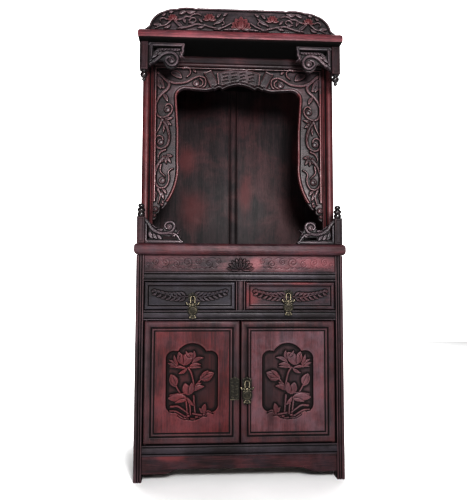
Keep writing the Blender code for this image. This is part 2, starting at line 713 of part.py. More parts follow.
def build_sill_and_canopy():
    """Build the two moulded boards, with round front and side edges."""
    boards = (
        ("sill", SILL_LENGTH / 2, SILL_BOTTOM, SILL_TOP),
        ("canopy", SILL_LENGTH / 2 - CANOPY_SHORTFALL, CEILING, CANOPY_TOP),
    )
    for name, half, low, high in boards:
        board = rounded_board_mesh((-half, FRONT, low), (half, BACK, high), BULLNOSE)
        add_piece(name, board, RED_ROSEWOOD)


def door_section():
    """Return the frame's section as (distance in from the outer edge, distance behind the face)."""
    profile = (                     # shares of the frame's width and of the lip's back
        (0.0, 0.625), (0.07, 0.2), (0.21, 0.025), (0.35, 0.0), (0.5, 0.1), (0.62, 0.35), (0.68, 0.69),
        (0.75, 0.45), (0.85, 0.375), (0.94, 0.525), (1.0, 0.875), (1.0, 1.0),
    )
    moulding = [(across * DOOR_FRAME_WIDTH, deep * DOOR_LIP_BACK) for across, deep in profile]
    rebate = DOOR_FRAME_WIDTH - DOOR_LIP_WIDTH
    return [(0.0, DOOR_THICKNESS)] + moulding + [(rebate, DOOR_LIP_BACK), (rebate, DOOR_THICKNESS)]


def cartouche_outline(middle, half_width, half_height):
    """Return the lobed outline around a door's carving, in metres about its middle."""
    lobe = CARTOUCHE_LOBE_HALF
    shoulder = half_height - CARTOUCHE_LOBE_RISE
    corner = CARTOUCHE_CORNER
    quarter = math.tan(math.pi / 8)
    lobe_bulge = CARTOUCHE_LOBE_RISE / lobe
    top = [
        (half_width, shoulder - corner, quarter),
        (half_width - corner, shoulder, 0.0),
        (lobe, shoulder - CARTOUCHE_SHOULDER_SLOPE, lobe_bulge),
        (-lobe, shoulder - CARTOUCHE_SHOULDER_SLOPE, 0.0),
        (corner - half_width, shoulder, quarter),
        (-half_width, shoulder - corner, 0.0),
    ]
    bottom = [(-x, -z, bulge) for x, z, bulge in top]
    corners = [(x / UNIT, z / UNIT, bulge) for x, z, bulge in top + bottom + top[:1]]
    return chain(corners, middle)[:-1]


def lotus_relief(middle, floor, flip):
    """Return the lotus, buds, leaves and water in a door's cartouche, in UNIT from its middle.

    Each leaf is (x, z, width, length, rise, lean) and flip mirrors the picture for the other door.
    """
    leaves = [
        (-19, 74, 34, 50, 4.6, 38), (-50, 74, 13, 44, 3.8, -18), (-63, 60, 11, 42, 3.6, -52),
        (6, 78, 12, 42, 4.0, 24), (-50, 47, 9, 58, 3.6, -84), (8, 50, 9, 50, 3.6, 84),
        (43, 22, 30, 48, 4.2, 66), (-54, 10, 30, 38, 4.4, -10), (-12, -16, 24, 40, 4.4, -8),
        (-30, -20, 12, 38, 3.8, -22), (18, -14, 14, 40, 3.6, 72), (-50, -48, 22, 58, 4.2, 86),
        (-10, -66, 14, 50, 3.6, 12), (40, -70, 9, 26, 3.0, -30),
    ]
    strokes = [
        (chain([(-10, 44, 0.25), (6, -12, 0)], middle, flip), 3.4, 0.6),
        (chain([(-46, -8, -0.1), (-38, -32, 0)], middle, flip), 3.0, 0.6),
        (chain([(-70, -76, -0.3), (-30, -84, 0.2), (-8, -96, 0)], middle, flip, 32), 3.0, 0.6),
        (chain([(-38, -100, 0.1), (-8, -114, 0)], middle, flip), 2.6, 0.6),
        (chain([(-4, -99, -0.15), (36, -103, 0)], middle, flip), 2.8, 0.6),
    ]
    return carving(floor, strokes, leaves, middle, flip)


def build_doors():
    """Build each door's mitred frame with its two pivots, and its carved panel."""
    face = LEG_FRONT + DOOR_INSET
    width = OPENING_HALF - DOOR_SIDE_GAP - DOOR_MEETING_GAP
    height = DOOR_OPENING_HEIGHT - 2 * DOOR_END_GAP
    low = DOOR_BOTTOM + DOOR_END_GAP
    high = low + height
    for side_name, side in SIDES:
        middle = (side * (DOOR_MEETING_GAP + width / 2), low + height / 2)
        section = [(inward, face + y) for inward, y in door_section()]
        frame = framed_mesh(section, middle, width, height)
        place = pivot_place(side)
        reach = PIVOT_INSET + PIVOT_LENGTH
        pins = [
            cylinder_mesh(place, PIVOT_RADIUS, low - PIVOT_LENGTH, low + PIVOT_INSET),
            cylinder_mesh(place, PIVOT_RADIUS, high - PIVOT_INSET, high - PIVOT_INSET + reach),
        ]
        add_piece(f"door_frame_{side_name}", joined(frame, pins), RED_ROSEWOOD)

        edge = DOOR_FRAME_WIDTH - DOOR_LIP_WIDTH + GAP
        panel_face = face + DOOR_LIP_BACK + GAP
        board = box_mesh(
            (middle[0] - width / 2 + edge, panel_face, low + edge),
            (middle[0] + width / 2 - edge, panel_face + DOOR_PANEL_THICKNESS, high - edge),
        )
        outline = cartouche_outline(middle, CARTOUCHE_HALF_WIDTH, CARTOUCHE_HALF_HEIGHT)
        floor = panel_face + CARTOUCHE_DEPTH
        cutter = prism_mesh([outline], "Y", panel_face - CARTOUCHE_DEPTH, floor)
        board = joined(board, [cutter], "DIFFERENCE")
        board = joined(board, lotus_relief(middle, floor, -side))
        add_piece(f"door_panel_{side_name}", board, RED_ROSEWOOD)


def leaf_swag(middle, face):
    """Return the leaf swag on a drawer: two wings that rise and thin towards the drawer's ends."""
    leaves = []
    count = 5
    for i in range(count):
        share = i / (count - 1)
        x = 32 + 86 * share
        z = 3 + 8 * share + 5 * math.sin(math.pi * share)
        leaves.append((x, z, 12, 42 - 8 * share, DRAWER_CARVING_RISE / UNIT, 64 + 28 * share))
        if i < count - 1:
            leaves.append((x + 6, z - 13, 9, 30, 2.3, 118 - 20 * share))
    return carving(face, [], leaves, middle, -1) + carving(face, [], leaves, middle, 1)


def drawer_span(side):
    """Return the low and high x of a drawer's front."""
    inner = side * (UPRIGHT_WIDTH / 2 + DRAWER_GAP)
    outer = side * (OPENING_HALF - DRAWER_GAP)
    return tuple(sorted((inner, outer)))


def build_drawers():
    """Build each drawer's moulded and carved front, and the box behind it."""
    low = DRAWER_BOTTOM_LINE + DRAWER_GAP
    high = FRIEZE_RAIL_BOTTOM - DRAWER_GAP
    back_y = LEG_FRONT + DRAWER_FRONT_INSET + DRAWER_FRONT_THICKNESS
    for side_name, side in SIDES:
        low_x, high_x = drawer_span(side)
        front = moulded_board_mesh((low_x, DRAWER_EDGE_Y, low), (high_x, back_y, high), DRAWER_MOULDING)
        middle = ((low_x + high_x) / 2, (low + high) / 2 - 1 * UNIT)
        front = joined(front, leaf_swag(middle, DRAWER_FIELD_Y))
        add_piece(f"drawer_front_{side_name}", front, RED_ROSEWOOD)

        box_low = (low_x + DRAWER_BOX_SIDE_GAP, back_y + GAP, DRAWER_BOTTOM_LINE + GAP)
        box_high = (
            high_x - DRAWER_BOX_SIDE_GAP,
            BACK_PANEL_FRONT - DRAWER_BACK_GAP,
            DRAWER_BOTTOM_LINE + GAP + DRAWER_BOX_HEIGHT,
        )
        inside_low = (box_low[0] + DRAWER_WALL, box_low[1] + DRAWER_WALL, box_low[2] + DRAWER_BOTTOM)
        inside_high = (box_high[0] - DRAWER_WALL, box_high[1] - DRAWER_WALL, box_high[2] + DRAWER_WALL)
        tray = joined(box_mesh(box_low, box_high), [box_mesh(inside_low, inside_high)], "DIFFERENCE")
        add_piece(f"drawer_box_{side_name}", tray, PINE)


def plate_outline(middle, tail):
    """Return a plate's outline: three petals above the staple and a straight tail below it."""
    half = PLATE_WIDTH / 2 / UNIT
    crown = PLATE_CROWN / UNIT
    foot = -tail / UNIT
    corners = [
        (-half + 3, foot, 0.0), (half - 3, foot, 0.3), (half, foot + 5, 0.0), (half, -4, 0.45),
        (half - 6, crown * 0.6, 0.45), (4, crown * 0.62, 0.9), (-4, crown * 0.62, 0.45),
        (-half + 6, crown * 0.6, 0.45), (-half, -4, 0.0), (-half, foot + 5, 0.3), (-half + 3, foot, 0.0),
    ]
    return chain(corners, middle, 1, 36)[:-1]


def plate_mesh(middle, back, tail, with_staple=True):
    """Return a plate lying on the surface at y = back, with the ring that carries a pull."""
    face = back - PLATE_THICKNESS
    plate = prism_mesh([plate_outline(middle, tail)], "Y", face, back)
    if not with_staple:
        return plate
    stem_start = PULL_AXIS_Y + STAPLE_RING_RADIUS - STAPLE_WIRE_RADIUS / 3
    stem = cylinder_mesh(middle, STAPLE_WIRE_RADIUS, stem_start, back - PLATE_THICKNESS / 2, "Y", 4)
    return joined(plate, [ring_mesh(middle), stem])


def ring_mesh(middle):
    """Return the staple's ring: a small torus in the YZ plane around the pull's bar."""
    bm = bmesh.new()
    profile = bmesh.ops.create_circle(bm, segments=4, radius=STAPLE_WIRE_RADIUS)["verts"]
    bmesh.ops.translate(bm, vec=(0, STAPLE_RING_RADIUS, 0), verts=profile)
    bmesh.ops.spin(
        bm, geom=profile + list(bm.edges), cent=(0, 0, 0), axis=(1, 0, 0), angle=2 * math.pi,
        steps=STAPLE_RING_SIDES, use_merge=True,
    )
    bmesh.ops.remove_doubles(bm, verts=bm.verts, dist=WELD)
    bmesh.ops.translate(bm, vec=(middle[0], PULL_AXIS_Y, middle[1]), verts=bm.verts)
    return finished_mesh(bm, "ring")


def pull_mesh(middle):
    """Return a drop pull cast as one: a bar over an open eye, two side leaves, a disc and a lobed foot."""
    half = PULL_THICKNESS / 2 / UNIT
    right = [
        (0, half, 0), (5.5, half, -0.3), (9, -9, -0.1), (8, -20, 0.25), (12, -23, 0), (22, -18, -0.3),
        (20, -27, 0), (11, -32, -0.53), (8, -60, -0.45), (12, -67, -0.5), (5, -73.5, -0.3), (0, -70, 0),
    ]
    points = chain(right, middle, 1, 45)
    left = chain(right, middle, -1, 45)[1:-1]
    eye_corners = [
        (-4.5, -half, 0), (4.5, -half, -0.1), (4.5, -19, -0.7), (-4.5, -19, -0.1), (-4.5, -half, 0),
    ]
    eye = chain(eye_corners, middle, 1, 60)[:-1]
    face = PULL_AXIS_Y - PULL_THICKNESS / 2
    casting = prism_mesh([points + left[::-1], eye], "Y", face, face + PULL_THICKNESS)
    disc = (middle[0], middle[1] - PULL_DISC_DROP)
    boss = cylinder_mesh(disc, PULL_DISC_RADIUS, face - PULL_DISC_RISE, PULL_AXIS_Y, "Y", 10)
    return joined(casting, [boss])


def build_brass():
    """Build the plates and the drop pulls. The left door's plate has lost its pull."""
    drawer_carving = DRAWER_FIELD_Y - DRAWER_CARVING_RISE
    door_face = LEG_FRONT + DOOR_INSET - GAP
    for side_name, middle in (("left", LEFT_DRAWER_PULL), ("right", RIGHT_DRAWER_PULL)):
        plate = plate_mesh(middle, drawer_carving, DRAWER_PLATE_TAIL)
        add_piece(f"drawer_plate_{side_name}", plate, BRASS)
        add_piece(f"drawer_pull_{side_name}", pull_mesh(middle), BRASS)
    add_piece("door_plate_left", plate_mesh(LEFT_DOOR_PLATE, door_face, DOOR_PLATE_TAIL, False), BRASS)
    add_piece("door_plate_right", plate_mesh(RIGHT_DOOR_PULL, door_face, DOOR_PLATE_TAIL), BRASS)
    add_piece("door_pull_right", pull_mesh(RIGHT_DOOR_PULL), BRASS)


def niche_post_section(side):
    """Return the (x, y) section of a front post: a half round outside, a groove and a flat bead inside."""
    back = ARCH_FRONT + NICHE_POST_DEPTH
    groove = ARCH_FRONT + POST_GROOVE_DEPTH
    radius = NICHE_POST_WIDTH * 0.31
    bead = NICHE_POST_WIDTH * 0.26
    section = [
        (NICHE_INNER, back), (NICHE_INNER, ARCH_FRONT + bead * 0.2),
        (NICHE_INNER + bead * 0.15, ARCH_FRONT), (NICHE_INNER + bead, ARCH_FRONT),
        (NICHE_INNER + bead * 1.2, groove),
    ]
    steps = 7
    for i in range(steps + 1):
        angle = math.pi * (1 - i / steps)
        x = NICHE_OUTER - radius + radius * math.cos(angle)
        section.append((x, groove - POST_ROUND_RISE * math.sin(angle)))
    section.append((NICHE_OUTER, back))
    return [(side * x, y) for x, y in section]


def build_niche():
    """Build the posts, top rail, sides and back of the niche."""
    low = SILL_TOP + GAP
    high = CEILING - GAP
    back_low = BACK - NICHE_POST_DEPTH
    for side_name, side in SIDES:
        post = prism_mesh([niche_post_section(side)], "Z", low, high)
        add_piece(f"niche_post_front_{side_name}", post, RED_ROSEWOOD)
        low_x, high_x = sorted((side * NICHE_INNER, side * NICHE_OUTER))
        back_post = box_mesh((low_x, back_low, low), (high_x, BACK, high))
        add_piece(f"niche_post_back_{side_name}", back_post, ROSEWOOD)
        outer = side * (NICHE_OUTER - NICHE_SIDE_INSET)
        inner = side * (NICHE_OUTER - NICHE_SIDE_INSET - NICHE_SIDE_THICKNESS)
        low_x, high_x = sorted((outer, inner))
        front_y = ARCH_FRONT + NICHE_POST_DEPTH + GAP
        panel = box_mesh((low_x, front_y, low), (high_x, back_low - GAP, high))
        add_piece(f"niche_side_{side_name}", panel, ROSEWOOD)

    reach = NICHE_INNER - GAP
    bead = [(2, 0), (-1, 3), (-2, 7), (-1, 11), (2.5, 14), (0.5, 18)]
    section = [(ARCH_FRONT + deep * UNIT, RAIL_UNDERSIDE + up * UNIT) for deep, up in bead]
    section += [(ARCH_FRONT, CEILING - 6 * UNIT), (ARCH_FRONT + 2 * UNIT, high)]
    section += [(ARCH_FRONT + TOP_RAIL_DEPTH, high), (ARCH_FRONT + TOP_RAIL_DEPTH, RAIL_UNDERSIDE)]
    add_piece("top_rail", prism_mesh([section], "X", -reach, reach), RED_ROSEWOOD)

    muntin = NICHE_MUNTIN_WIDTH / 2
    back_face = BACK - NICHE_BACK_INSET
    for side_name, side in SIDES:
        low_x, high_x = sorted((side * (muntin + GAP), side * (NICHE_INNER - GAP)))
        panel = box_mesh((low_x, back_face - NICHE_BACK_THICKNESS, low), (high_x, back_face, high))
        add_piece(f"niche_back_{side_name}", panel, RED_ROSEWOOD)
    bar_back = back_face + NICHE_MUNTIN_PROUD
    bar = box_mesh((-muntin, bar_back - NICHE_MUNTIN_THICKNESS, low), (muntin, bar_back, high))
    add_piece("niche_muntin", bar, ROSEWOOD)


def arch_edge():
    """Return the left half of the arch's free edge, from the tail on the post to the middle, in UNIT.

    The first list is measured from the post's inner face and the rail's underside, the second from the
    middle.
    """
    tail = -ARCH_SIDE_LENGTH / UNIT
    at_post = [
        (0.3, tail, 0.5), (12, tail + 22, 0.55), (21, tail + 42, 0.5), (24, tail + 52, -0.6),
        (29, tail + 42, 0.5), (35, tail + 42, 0.2), (86, tail + 205, 0.03), (78, -112, -0.41),
        (106, -79, 0.0),
    ]
    at_middle = [
        (-124, -84, 0.1), (-100, -81, 0.3), (-90, -77, 0.0), (-84, -81, 0.0), (-74, -75, -0.3),
        (-64, -74, 0.5), (-52, -77, -0.12), (0, -61, 0.0),
    ]
    return at_post, at_middle


def arch_scrolls(side):
    """Return the carved scrolls and leaves of one side of the arch, from the post's inner face.

    Heights below the arch's shoulder are shares of its side's length, the others are in UNIT.
    """
    anchor = (side * NICHE_INNER, RAIL_UNDERSIDE)
    flip = -side
    face = ARCH_FRONT + ARCH_INSET
    down = -ARCH_SIDE_LENGTH / UNIT
    first = chain([(46, -60, -0.25), (20, 0.192 * down, 0)], anchor, flip)
    second = chain([(36, 0.357 * down, 0.1), (51, 0.438 * down, 0)], anchor, flip)
    third = chain([(24, 0.622 * down, 0.12), (7, 0.674 * down, 0)], anchor, flip)
    lines = [
        (chain([(6, -16, 0.45), (120, -38, 0.5), (114, -12, 0)], anchor, flip, 48), 4.2, 0.8),
        (spiral((149, -57), 128, -230, 30, 25, anchor, flip, 1.0, 46), 4.2, 0.7),
        (first + spiral((37, 0.293 * down), 140, 300, 33, 17, anchor, flip, 2.0, 46), 4.2, 0.6),
        (second + spiral((27, 0.497 * down), 10, -290, 25, 13, anchor, flip, 2.0, 46), 4.0, 0.6),
        (third + spiral((29, 0.740 * down), 165, 200, 25, 25, anchor, flip, 1.0, 48), 4.2, 0.6),
    ]
    at_rail = [(146, -56, 26, 26, 3.8, 5), (76, -24, 56, 30, 2.4, 3), (140, -14, 8, 18, 3.0, 30)]
    along_side = [
        (58, 0.372, 9, 26, 3.4, 60), (26, 0.409, 12, 44, 3.4, 6), (20, 0.589, 13, 30, 3.4, 16),
        (46, 0.597, 9, 26, 3.4, 40), (20, 0.829, 13, 36, 3.4, 6), (42, 0.825, 9, 22, 3.4, 50),
        (14, 0.899, 14, 34, 3.4, -14), (46, 0.217, 8, 30, 3.4, -6), (28, 0.744, 20, 24, 3.6, 3),
        (36, 0.295, 20, 22, 3.2, 4), (27, 0.494, 15, 17, 3.2, 6),
    ]
    leaves = at_rail + [(x, share * down, *rest) for x, share, *rest in along_side]
    return carving(face, lines, leaves, anchor, flip)


def banner(face):
    """Return the banner plaque in the middle of the arch: a bowed board, two rolls and two tails."""
    anchor = (0.0, RAIL_UNDERSIDE)
    corners = [
        (-70, -74, -0.2), (70, -74, 0.3), (76, -40, 0), (66, -22, 0.2), (-66, -22, 0), (-76, -40, 0.3),
        (-70, -74, 0),
    ]
    root = face + CARVING_ROOT
    meshes = [prism_mesh([chain(corners, anchor)[:-1]], "Y", face - BANNER_RISE, root)]
    for side in (-1, 1):
        tail = chain([(80, -22, 0), (94, -7, 0), (118, -26, 0), (98, -76, 0), (84, -79, 0)], anchor, side)
        meshes.append(prism_mesh([tail], "Y", face - BANNER_TAIL_RISE, root))
        roll = chain([(68, -72, 0), (72, -50, 0), (66, -26, 0)], anchor, side)
        meshes.append(stroke_mesh(roll, face - BANNER_TAIL_RISE, BANNER_ROLL_RADIUS, 0.8))
    return meshes


def lettering(face):
    """Return the rows of shallow strokes on the banner. They stand for writing and are not letters."""
    meshes = []
    half_stroke = LETTER_STROKE / 2
    for column in LETTER_COLUMNS:
        for row, width in enumerate(LETTER_WIDTHS):
            x = column + row * LETTER_STROKE / 2
            z = RAIL_UNDERSIDE - LETTER_TOP - LETTER_PITCH * row
            low = (x - width / 2, face - BANNER_RISE - LETTER_RISE, z - half_stroke)
            high = (x + width / 2, face - BANNER_RISE / 2, z + half_stroke)
            meshes.append(box_mesh(low, high))
    return meshes


def build_arch():
    """Build the carved arch as one board with its border bead, scrolls, leaves and banner."""
    at_post, at_middle = arch_edge()
    post_anchor = (-NICHE_INNER, RAIL_UNDERSIDE)
    left = chain(at_post, post_anchor) + chain(at_middle, (0.0, RAIL_UNDERSIDE))
    right = [(-x, z) for x, z in reversed(left[:-1])]
    edge = left + right
    top = RAIL_UNDERSIDE - GAP
    corner = NICHE_INNER - GAP
    outline = edge + [(corner, top), (-corner, top)]
    face = ARCH_FRONT + ARCH_INSET
    board = prism_mesh([outline], "Y", face, face + ARCH_THICKNESS)
    meshes = []
    for side in (-1, 1):
        border = chain(at_post[5:], (side * NICHE_INNER, RAIL_UNDERSIDE), -side, 34)
        border = inside_line(border, -side * ARCH_BORDER_INSET)
        meshes.append(stroke_mesh(border, face, ARCH_BORDER_RADIUS))
        meshes.extend(arch_scrolls(side))
    meshes.extend(banner(face))
    meshes.extend(lettering(face))
    add_piece("arch", joined(board, meshes), ROSEWOOD)


def crest_half():
    """Return half the crest's length."""
    return SILL_LENGTH / 2 - CANOPY_SHORTFALL - CREST_END_INSET


def crest_edge():
    """Return the right half of the crest's outline from its foot to its middle, in UNIT."""
    height = CREST_HEIGHT / UNIT
    half = crest_half() / UNIT
    return [
        (half, 0.3, -0.1), (half * 0.918, height * 0.2, 0.28), (half * 0.773, height * 0.82, 0.16),
        (half * 0.652, height * 0.93, 0.12), (half * 0.485, height, 0.0), (half * 0.455, height * 0.97, 0.0),
        (half * 0.43, height * 0.995, 0.0), (0, height * 0.995, 0.0),
    ]


def crest_carving(face, side):
    """Return one half of the crest's carving from the middle of its foot.

    Places along the crest are shares of its half length, heights and sizes are in UNIT.
    """
    anchor = (0.0, CANOPY_TOP)
    half = crest_half() / UNIT
    stem = [
        (0.158, 23, -0.3), (0.242, 14, 0.25), (0.4, 26, -0.3), (0.576, 13, 0.25), (0.745, 22, -0.25),
        (0.873, 12, 0),
    ]
    bridge = [(0.555, 55, 0.2), (0.642, 50, 0)]
    lines = [
        (chain([(share * half, z, bulge) for share, z, bulge in stem], anchor, side, 40), 3.0, 0.7),
        (spiral((0.476 * half, 50), -60, -250, 18, 9, anchor, side, 1.0, 42), 3.0, 0.6),
        (chain([(share * half, z, bulge) for share, z, bulge in bridge], anchor, side, 40), 2.8, 0.6),
    ]
    leaves = [
        (0.170, 40, 12, 26, 3.4, 40), (0.082, 12, 9, 34, 3.2, 84), (0.333, 54, 22, 34, 3.8, 2),
        (0.294, 53, 10, 32, 3.2, -24), (0.373, 53, 10, 32, 3.2, 24), (0.715, 48, 16, 28, 3.6, 4),
        (0.676, 44, 10, 26, 3.0, -44), (0.758, 44, 10, 26, 3.0, 44), (0.618, 33, 9, 26, 3.0, -58),
        (0.818, 31, 9, 26, 3.0, 48), (0.912, 11, 12, 16, 3.0, 20),
    ]
    leaves = [(share * half, *rest) for share, *rest in leaves]
    return carving(face, lines, leaves, anchor, side)


def build_crest():
    """Build the carved crest that stands on the canopy."""
    corners = crest_edge()
    right = chain(corners, (0.0, CANOPY_TOP))
    left = [(-x, z) for x, z in reversed(right[:-1])]
    face = FRONT + CREST_SETBACK
    board = prism_mesh([right + left], "Y", face, face + CREST_THICKNESS)
    border = chain(corners[1:], (0.0, CANOPY_TOP), 1, 30)
    border += [(-x, z) for x, z in reversed(border[:-1])]
    rim = inside_line(border, CREST_BORDER_INSET)
    meshes = carving(face, [(rim, CREST_BORDER_RADIUS / UNIT, 1.0)], [], (0.0, 0.0), 1)
    for side in (-1, 1):
        meshes.extend(crest_carving(face, side))
    lotus = []
    for lean in (-60, -38, -19, 0, 19, 38, 60):
        angle = math.radians(lean)
        out = 28 - 0.05 * abs(lean)
        lotus.append((math.sin(angle) * out, math.cos(angle) * out, 15, 44, 4.0, lean))
    meshes.extend(carving(face, [], lotus, (0.0, CANOPY_TOP + CREST_LOTUS_RISE), 1))
    add_piece("crest", joined(board, meshes), ROSEWOOD)


def build_turned_post(names, outer, width, low, high, profile, turned_at):
    """Build a short square post with a raised face, and the turned piece on its free end."""
    inner = math.copysign(abs(outer) - width, outer)
    low_x, high_x = sorted((outer, inner))
    post = moulded_board_mesh(
        (low_x, LEG_FRONT + POST_FACE_RISE, low), (high_x, LEG_FRONT + width, high),
        ((2 * UNIT, POST_FACE_RISE), (4 * UNIT, 0.0), (1.5 * UNIT, -1.5 * UNIT)),
    )
    add_piece(names[0], post, RED_ROSEWOOD)
    centre = ((low_x + high_x) / 2, LEG_FRONT + width / 2, turned_at)
    add_piece(names[1], turned_mesh(profile, centre), EBONY)


def build_front_posts():
    """Build the posts that hang from the canopy and stand on the sill, with their turned ends."""
    gap = GAP / UNIT
    pendant = (
        (0, -gap), (9, -gap), (9, -4), (6, -6), (11, -12), (12, -18), (8, -24), (4, -27), (6, -31), (4, -36),
        (0, -38),
    )
    finial = (
        (0, 43), (6, 42), (10, 37), (10, 32), (6, 29.5), (12, 26), (12.5, 20), (9, 15.5), (11.5, 13),
        (11.5, 4), (9, gap), (0, gap),
    )
    foot = CEILING - HANGING_POST_LENGTH
    head = SILL_TOP + STUB_HEIGHT
    for side_name, side in SIDES:
        names = (f"hanging_post_{side_name}", f"pendant_{side_name}")
        build_turned_post(names, side * NICHE_OUTER, HANGING_POST_WIDTH, foot, CEILING - GAP, pendant, foot)
        names = (f"stub_post_{side_name}", f"finial_{side_name}")
        build_turned_post(names, side * LEG_OUTER, STUB_WIDTH, SILL_TOP + GAP, head, finial, head)


def upper_bracket(side):
    """Return the cut-out bracket between a hanging post and the canopy, from the corner where they meet."""
    anchor = (side * (NICHE_OUTER - HANGING_POST_WIDTH), CEILING)
    flip = -side
    face = LEG_FRONT + BRACKET_INSET
    outline = chain([
        (0.3, -0.3, 0), (114, -0.3, 0), (114, -34, 0.3), (120, -50, 0.2), (103, -46, 0), (99, -62, -0.95),
        (47, -70, 0), (46, -58, 0.3), (22, -66, 0.2), (0.3, -82, 0), (0.3, -0.3, 0),
    ], anchor, flip, 36)[:-1]
    slot = chain([(30, -16, 0), (100, -15, 0), (96, -22, 0.2), (44, -24, 0), (30, -16, 0)], anchor, flip)[:-1]
    lines = [
        (spiral((73, -60), 160, -300, 26, 21, anchor, flip, 1.0, 50), 3.4, 0.7),
        (chain([(10, -8, 0), (110, -8, 0)], anchor, flip), 3.0, 1.0),
        (chain([(5, -9, 0), (5, -72, 0)], anchor, flip), 3.0, 1.0),
    ]
    leaves = [(73, -60, 24, 26, 3.2, 3), (21, -60, 14, 22, 3.2, -30), (28, -34, 12, 26, 3.2, 20),
              (109, -40, 9, 14, 3.2, 20)]
    meshes = carving(face, lines, leaves, anchor, flip)
    return joined(prism_mesh([outline, slot], "Y", face, face + BRACKET_THICKNESS), meshes)


def lower_bracket(side):
    """Return the cut-out bracket between a stub post and the sill, from the corner where they meet."""
    anchor = (side * (LEG_OUTER - STUB_WIDTH), SILL_TOP)
    flip = -side
    face = LEG_FRONT + BRACKET_INSET
    outline = chain([
        (0.3, 0.3, 0), (122, 0.3, 0), (122, 6, -0.2), (110, 46, 0.3), (102, 36, 0), (98, 48, 0.55),
        (80, 72, 0.5), (60, 58, -0.1), (48, 50, -0.2), (24, 56, -0.1), (6, 80, 0.3), (0.3, 80, 0),
        (0.3, 0.3, 0),
    ], anchor, flip, 40)[:-1]
    side_hole = chain([(9, 18, 0), (22, 16, 0), (14, 40, 0), (9, 52, 0), (9, 18, 0)], anchor, flip)[:-1]
    low_hole = chain([(46, 24, -0.15), (88, 22, 0.2), (98, 28, -0.3), (103, 12, 0), (96, 14, 0), (46, 15, 0),
                      (46, 24, 0)], anchor, flip)[:-1]
    lines = [
        (chain([(8, 72, 0.25), (60, 35, 0)], anchor, flip, 36) +
         spiral((74, 50), -105, 250, 19, 14, anchor, flip, 1.0, 42), 3.4, 0.7),
        (chain([(10, 7, 0), (114, 7, 0)], anchor, flip), 3.0, 1.0),
        (chain([(4.5, 14, 0), (4.5, 66, 0)], anchor, flip), 2.6, 1.0),
    ]
    leaves = [(74, 50, 18, 22, 3.2, 3), (34, 19, 12, 24, 3.2, 60), (111, 27, 8, 30, 3.2, -10)]
    meshes = carving(face, lines, leaves, anchor, flip)
    return joined(prism_mesh([outline, side_hole, low_hole], "Y", face, face + BRACKET_THICKNESS), meshes)


def build_brackets():
    """Build the four carved brackets in the corners of the front plane."""
    for side_name, side in SIDES:
        add_piece(f"bracket_upper_{side_name}", upper_bracket(side), ROSEWOOD)
        add_piece(f"bracket_lower_{side_name}", lower_bracket(side), ROSEWOOD)


clear_scene()
PARTS = collection("household_altar_cabinet")
HELPERS = collection("helpers")
build_lower_carcass()
build_sill_and_canopy()
build_doors()
build_drawers()
build_brass()
build_niche()
build_arch()
build_crest()
build_front_posts()
build_brackets()
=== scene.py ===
"""Dressed model of a household altar cabinet: carved boards, mouldings, turned ends, brass and finishes.

Lengths in the design data are millimetres in the cabinet's own frame; meshes are written in metres.
"""
import logging
import math
from dataclasses import dataclass, field, replace
from enum import Enum
from typing import Callable, Iterator, Optional, Union

import bmesh
import bpy
import numpy as np
from mathutils import Matrix, Vector


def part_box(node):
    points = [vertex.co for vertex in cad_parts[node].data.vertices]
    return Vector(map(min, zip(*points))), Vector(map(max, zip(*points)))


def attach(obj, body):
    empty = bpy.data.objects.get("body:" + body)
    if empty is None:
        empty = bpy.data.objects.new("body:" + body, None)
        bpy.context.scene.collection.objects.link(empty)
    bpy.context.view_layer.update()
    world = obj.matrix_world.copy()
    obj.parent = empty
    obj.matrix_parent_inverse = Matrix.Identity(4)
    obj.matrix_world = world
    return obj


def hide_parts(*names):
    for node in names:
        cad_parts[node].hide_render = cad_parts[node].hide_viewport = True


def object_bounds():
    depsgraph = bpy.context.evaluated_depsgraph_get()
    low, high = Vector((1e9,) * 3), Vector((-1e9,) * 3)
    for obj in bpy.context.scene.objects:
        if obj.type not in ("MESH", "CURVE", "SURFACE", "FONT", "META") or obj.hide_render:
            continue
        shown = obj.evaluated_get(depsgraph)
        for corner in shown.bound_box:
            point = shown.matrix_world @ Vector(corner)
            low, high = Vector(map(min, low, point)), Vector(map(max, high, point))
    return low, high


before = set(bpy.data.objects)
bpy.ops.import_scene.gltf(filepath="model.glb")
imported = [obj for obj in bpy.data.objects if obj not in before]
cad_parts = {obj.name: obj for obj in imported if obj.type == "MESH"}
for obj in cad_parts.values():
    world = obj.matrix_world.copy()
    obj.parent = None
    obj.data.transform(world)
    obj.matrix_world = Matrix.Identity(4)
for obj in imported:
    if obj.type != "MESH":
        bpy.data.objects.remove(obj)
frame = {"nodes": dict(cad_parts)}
CAD_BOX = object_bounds()

LOG = logging.getLogger("altar_cabinet")
MM = 0.001
BMesh = bmesh.types.BMesh
Point = tuple[float, float]
Place = tuple[float, float, float]
Line = list[Point]
Section = list[Place]
Colour = tuple[float, float, float]
Number = Union["Value", float]
Area = tuple[slice, slice]
ROOT = "cabinet"
SIDES = (("left", -1), ("right", 1))
FLOW_STEP = 3.0  # millimetres between two points of a smooth line
SPIRAL_STEP = 10  # degrees between two points of a spiral
TURNED_STEPS = 40  # flats around a turned end
GAP = 0.3  # millimetres that are left around a carved board
WELD = 0.001  # millimetres under which two points are one
EVERYWHERE = (slice(None), slice(None))

# Planes and heights that the solids give, in millimetres
LEG_FRONT = -221.0
ARCH_PLANE = -109.0
DOOR_PANEL_PLANE = -209.7
DRAWER_EDGE_PLANE = -216.0
FRIEZE_PLANE = -217.0
CREST_PLANE = -221.0
BRACKET_PLANE = -215.0
NICHE_INNER = 294.0
RAIL_UNDERSIDE = 1378.0
CEILING = 1414.0
CANOPY_TOP = 1450.0
DOOR_MIDDLE = (-153.75, 307.1)
SILL_TOP = 747.0


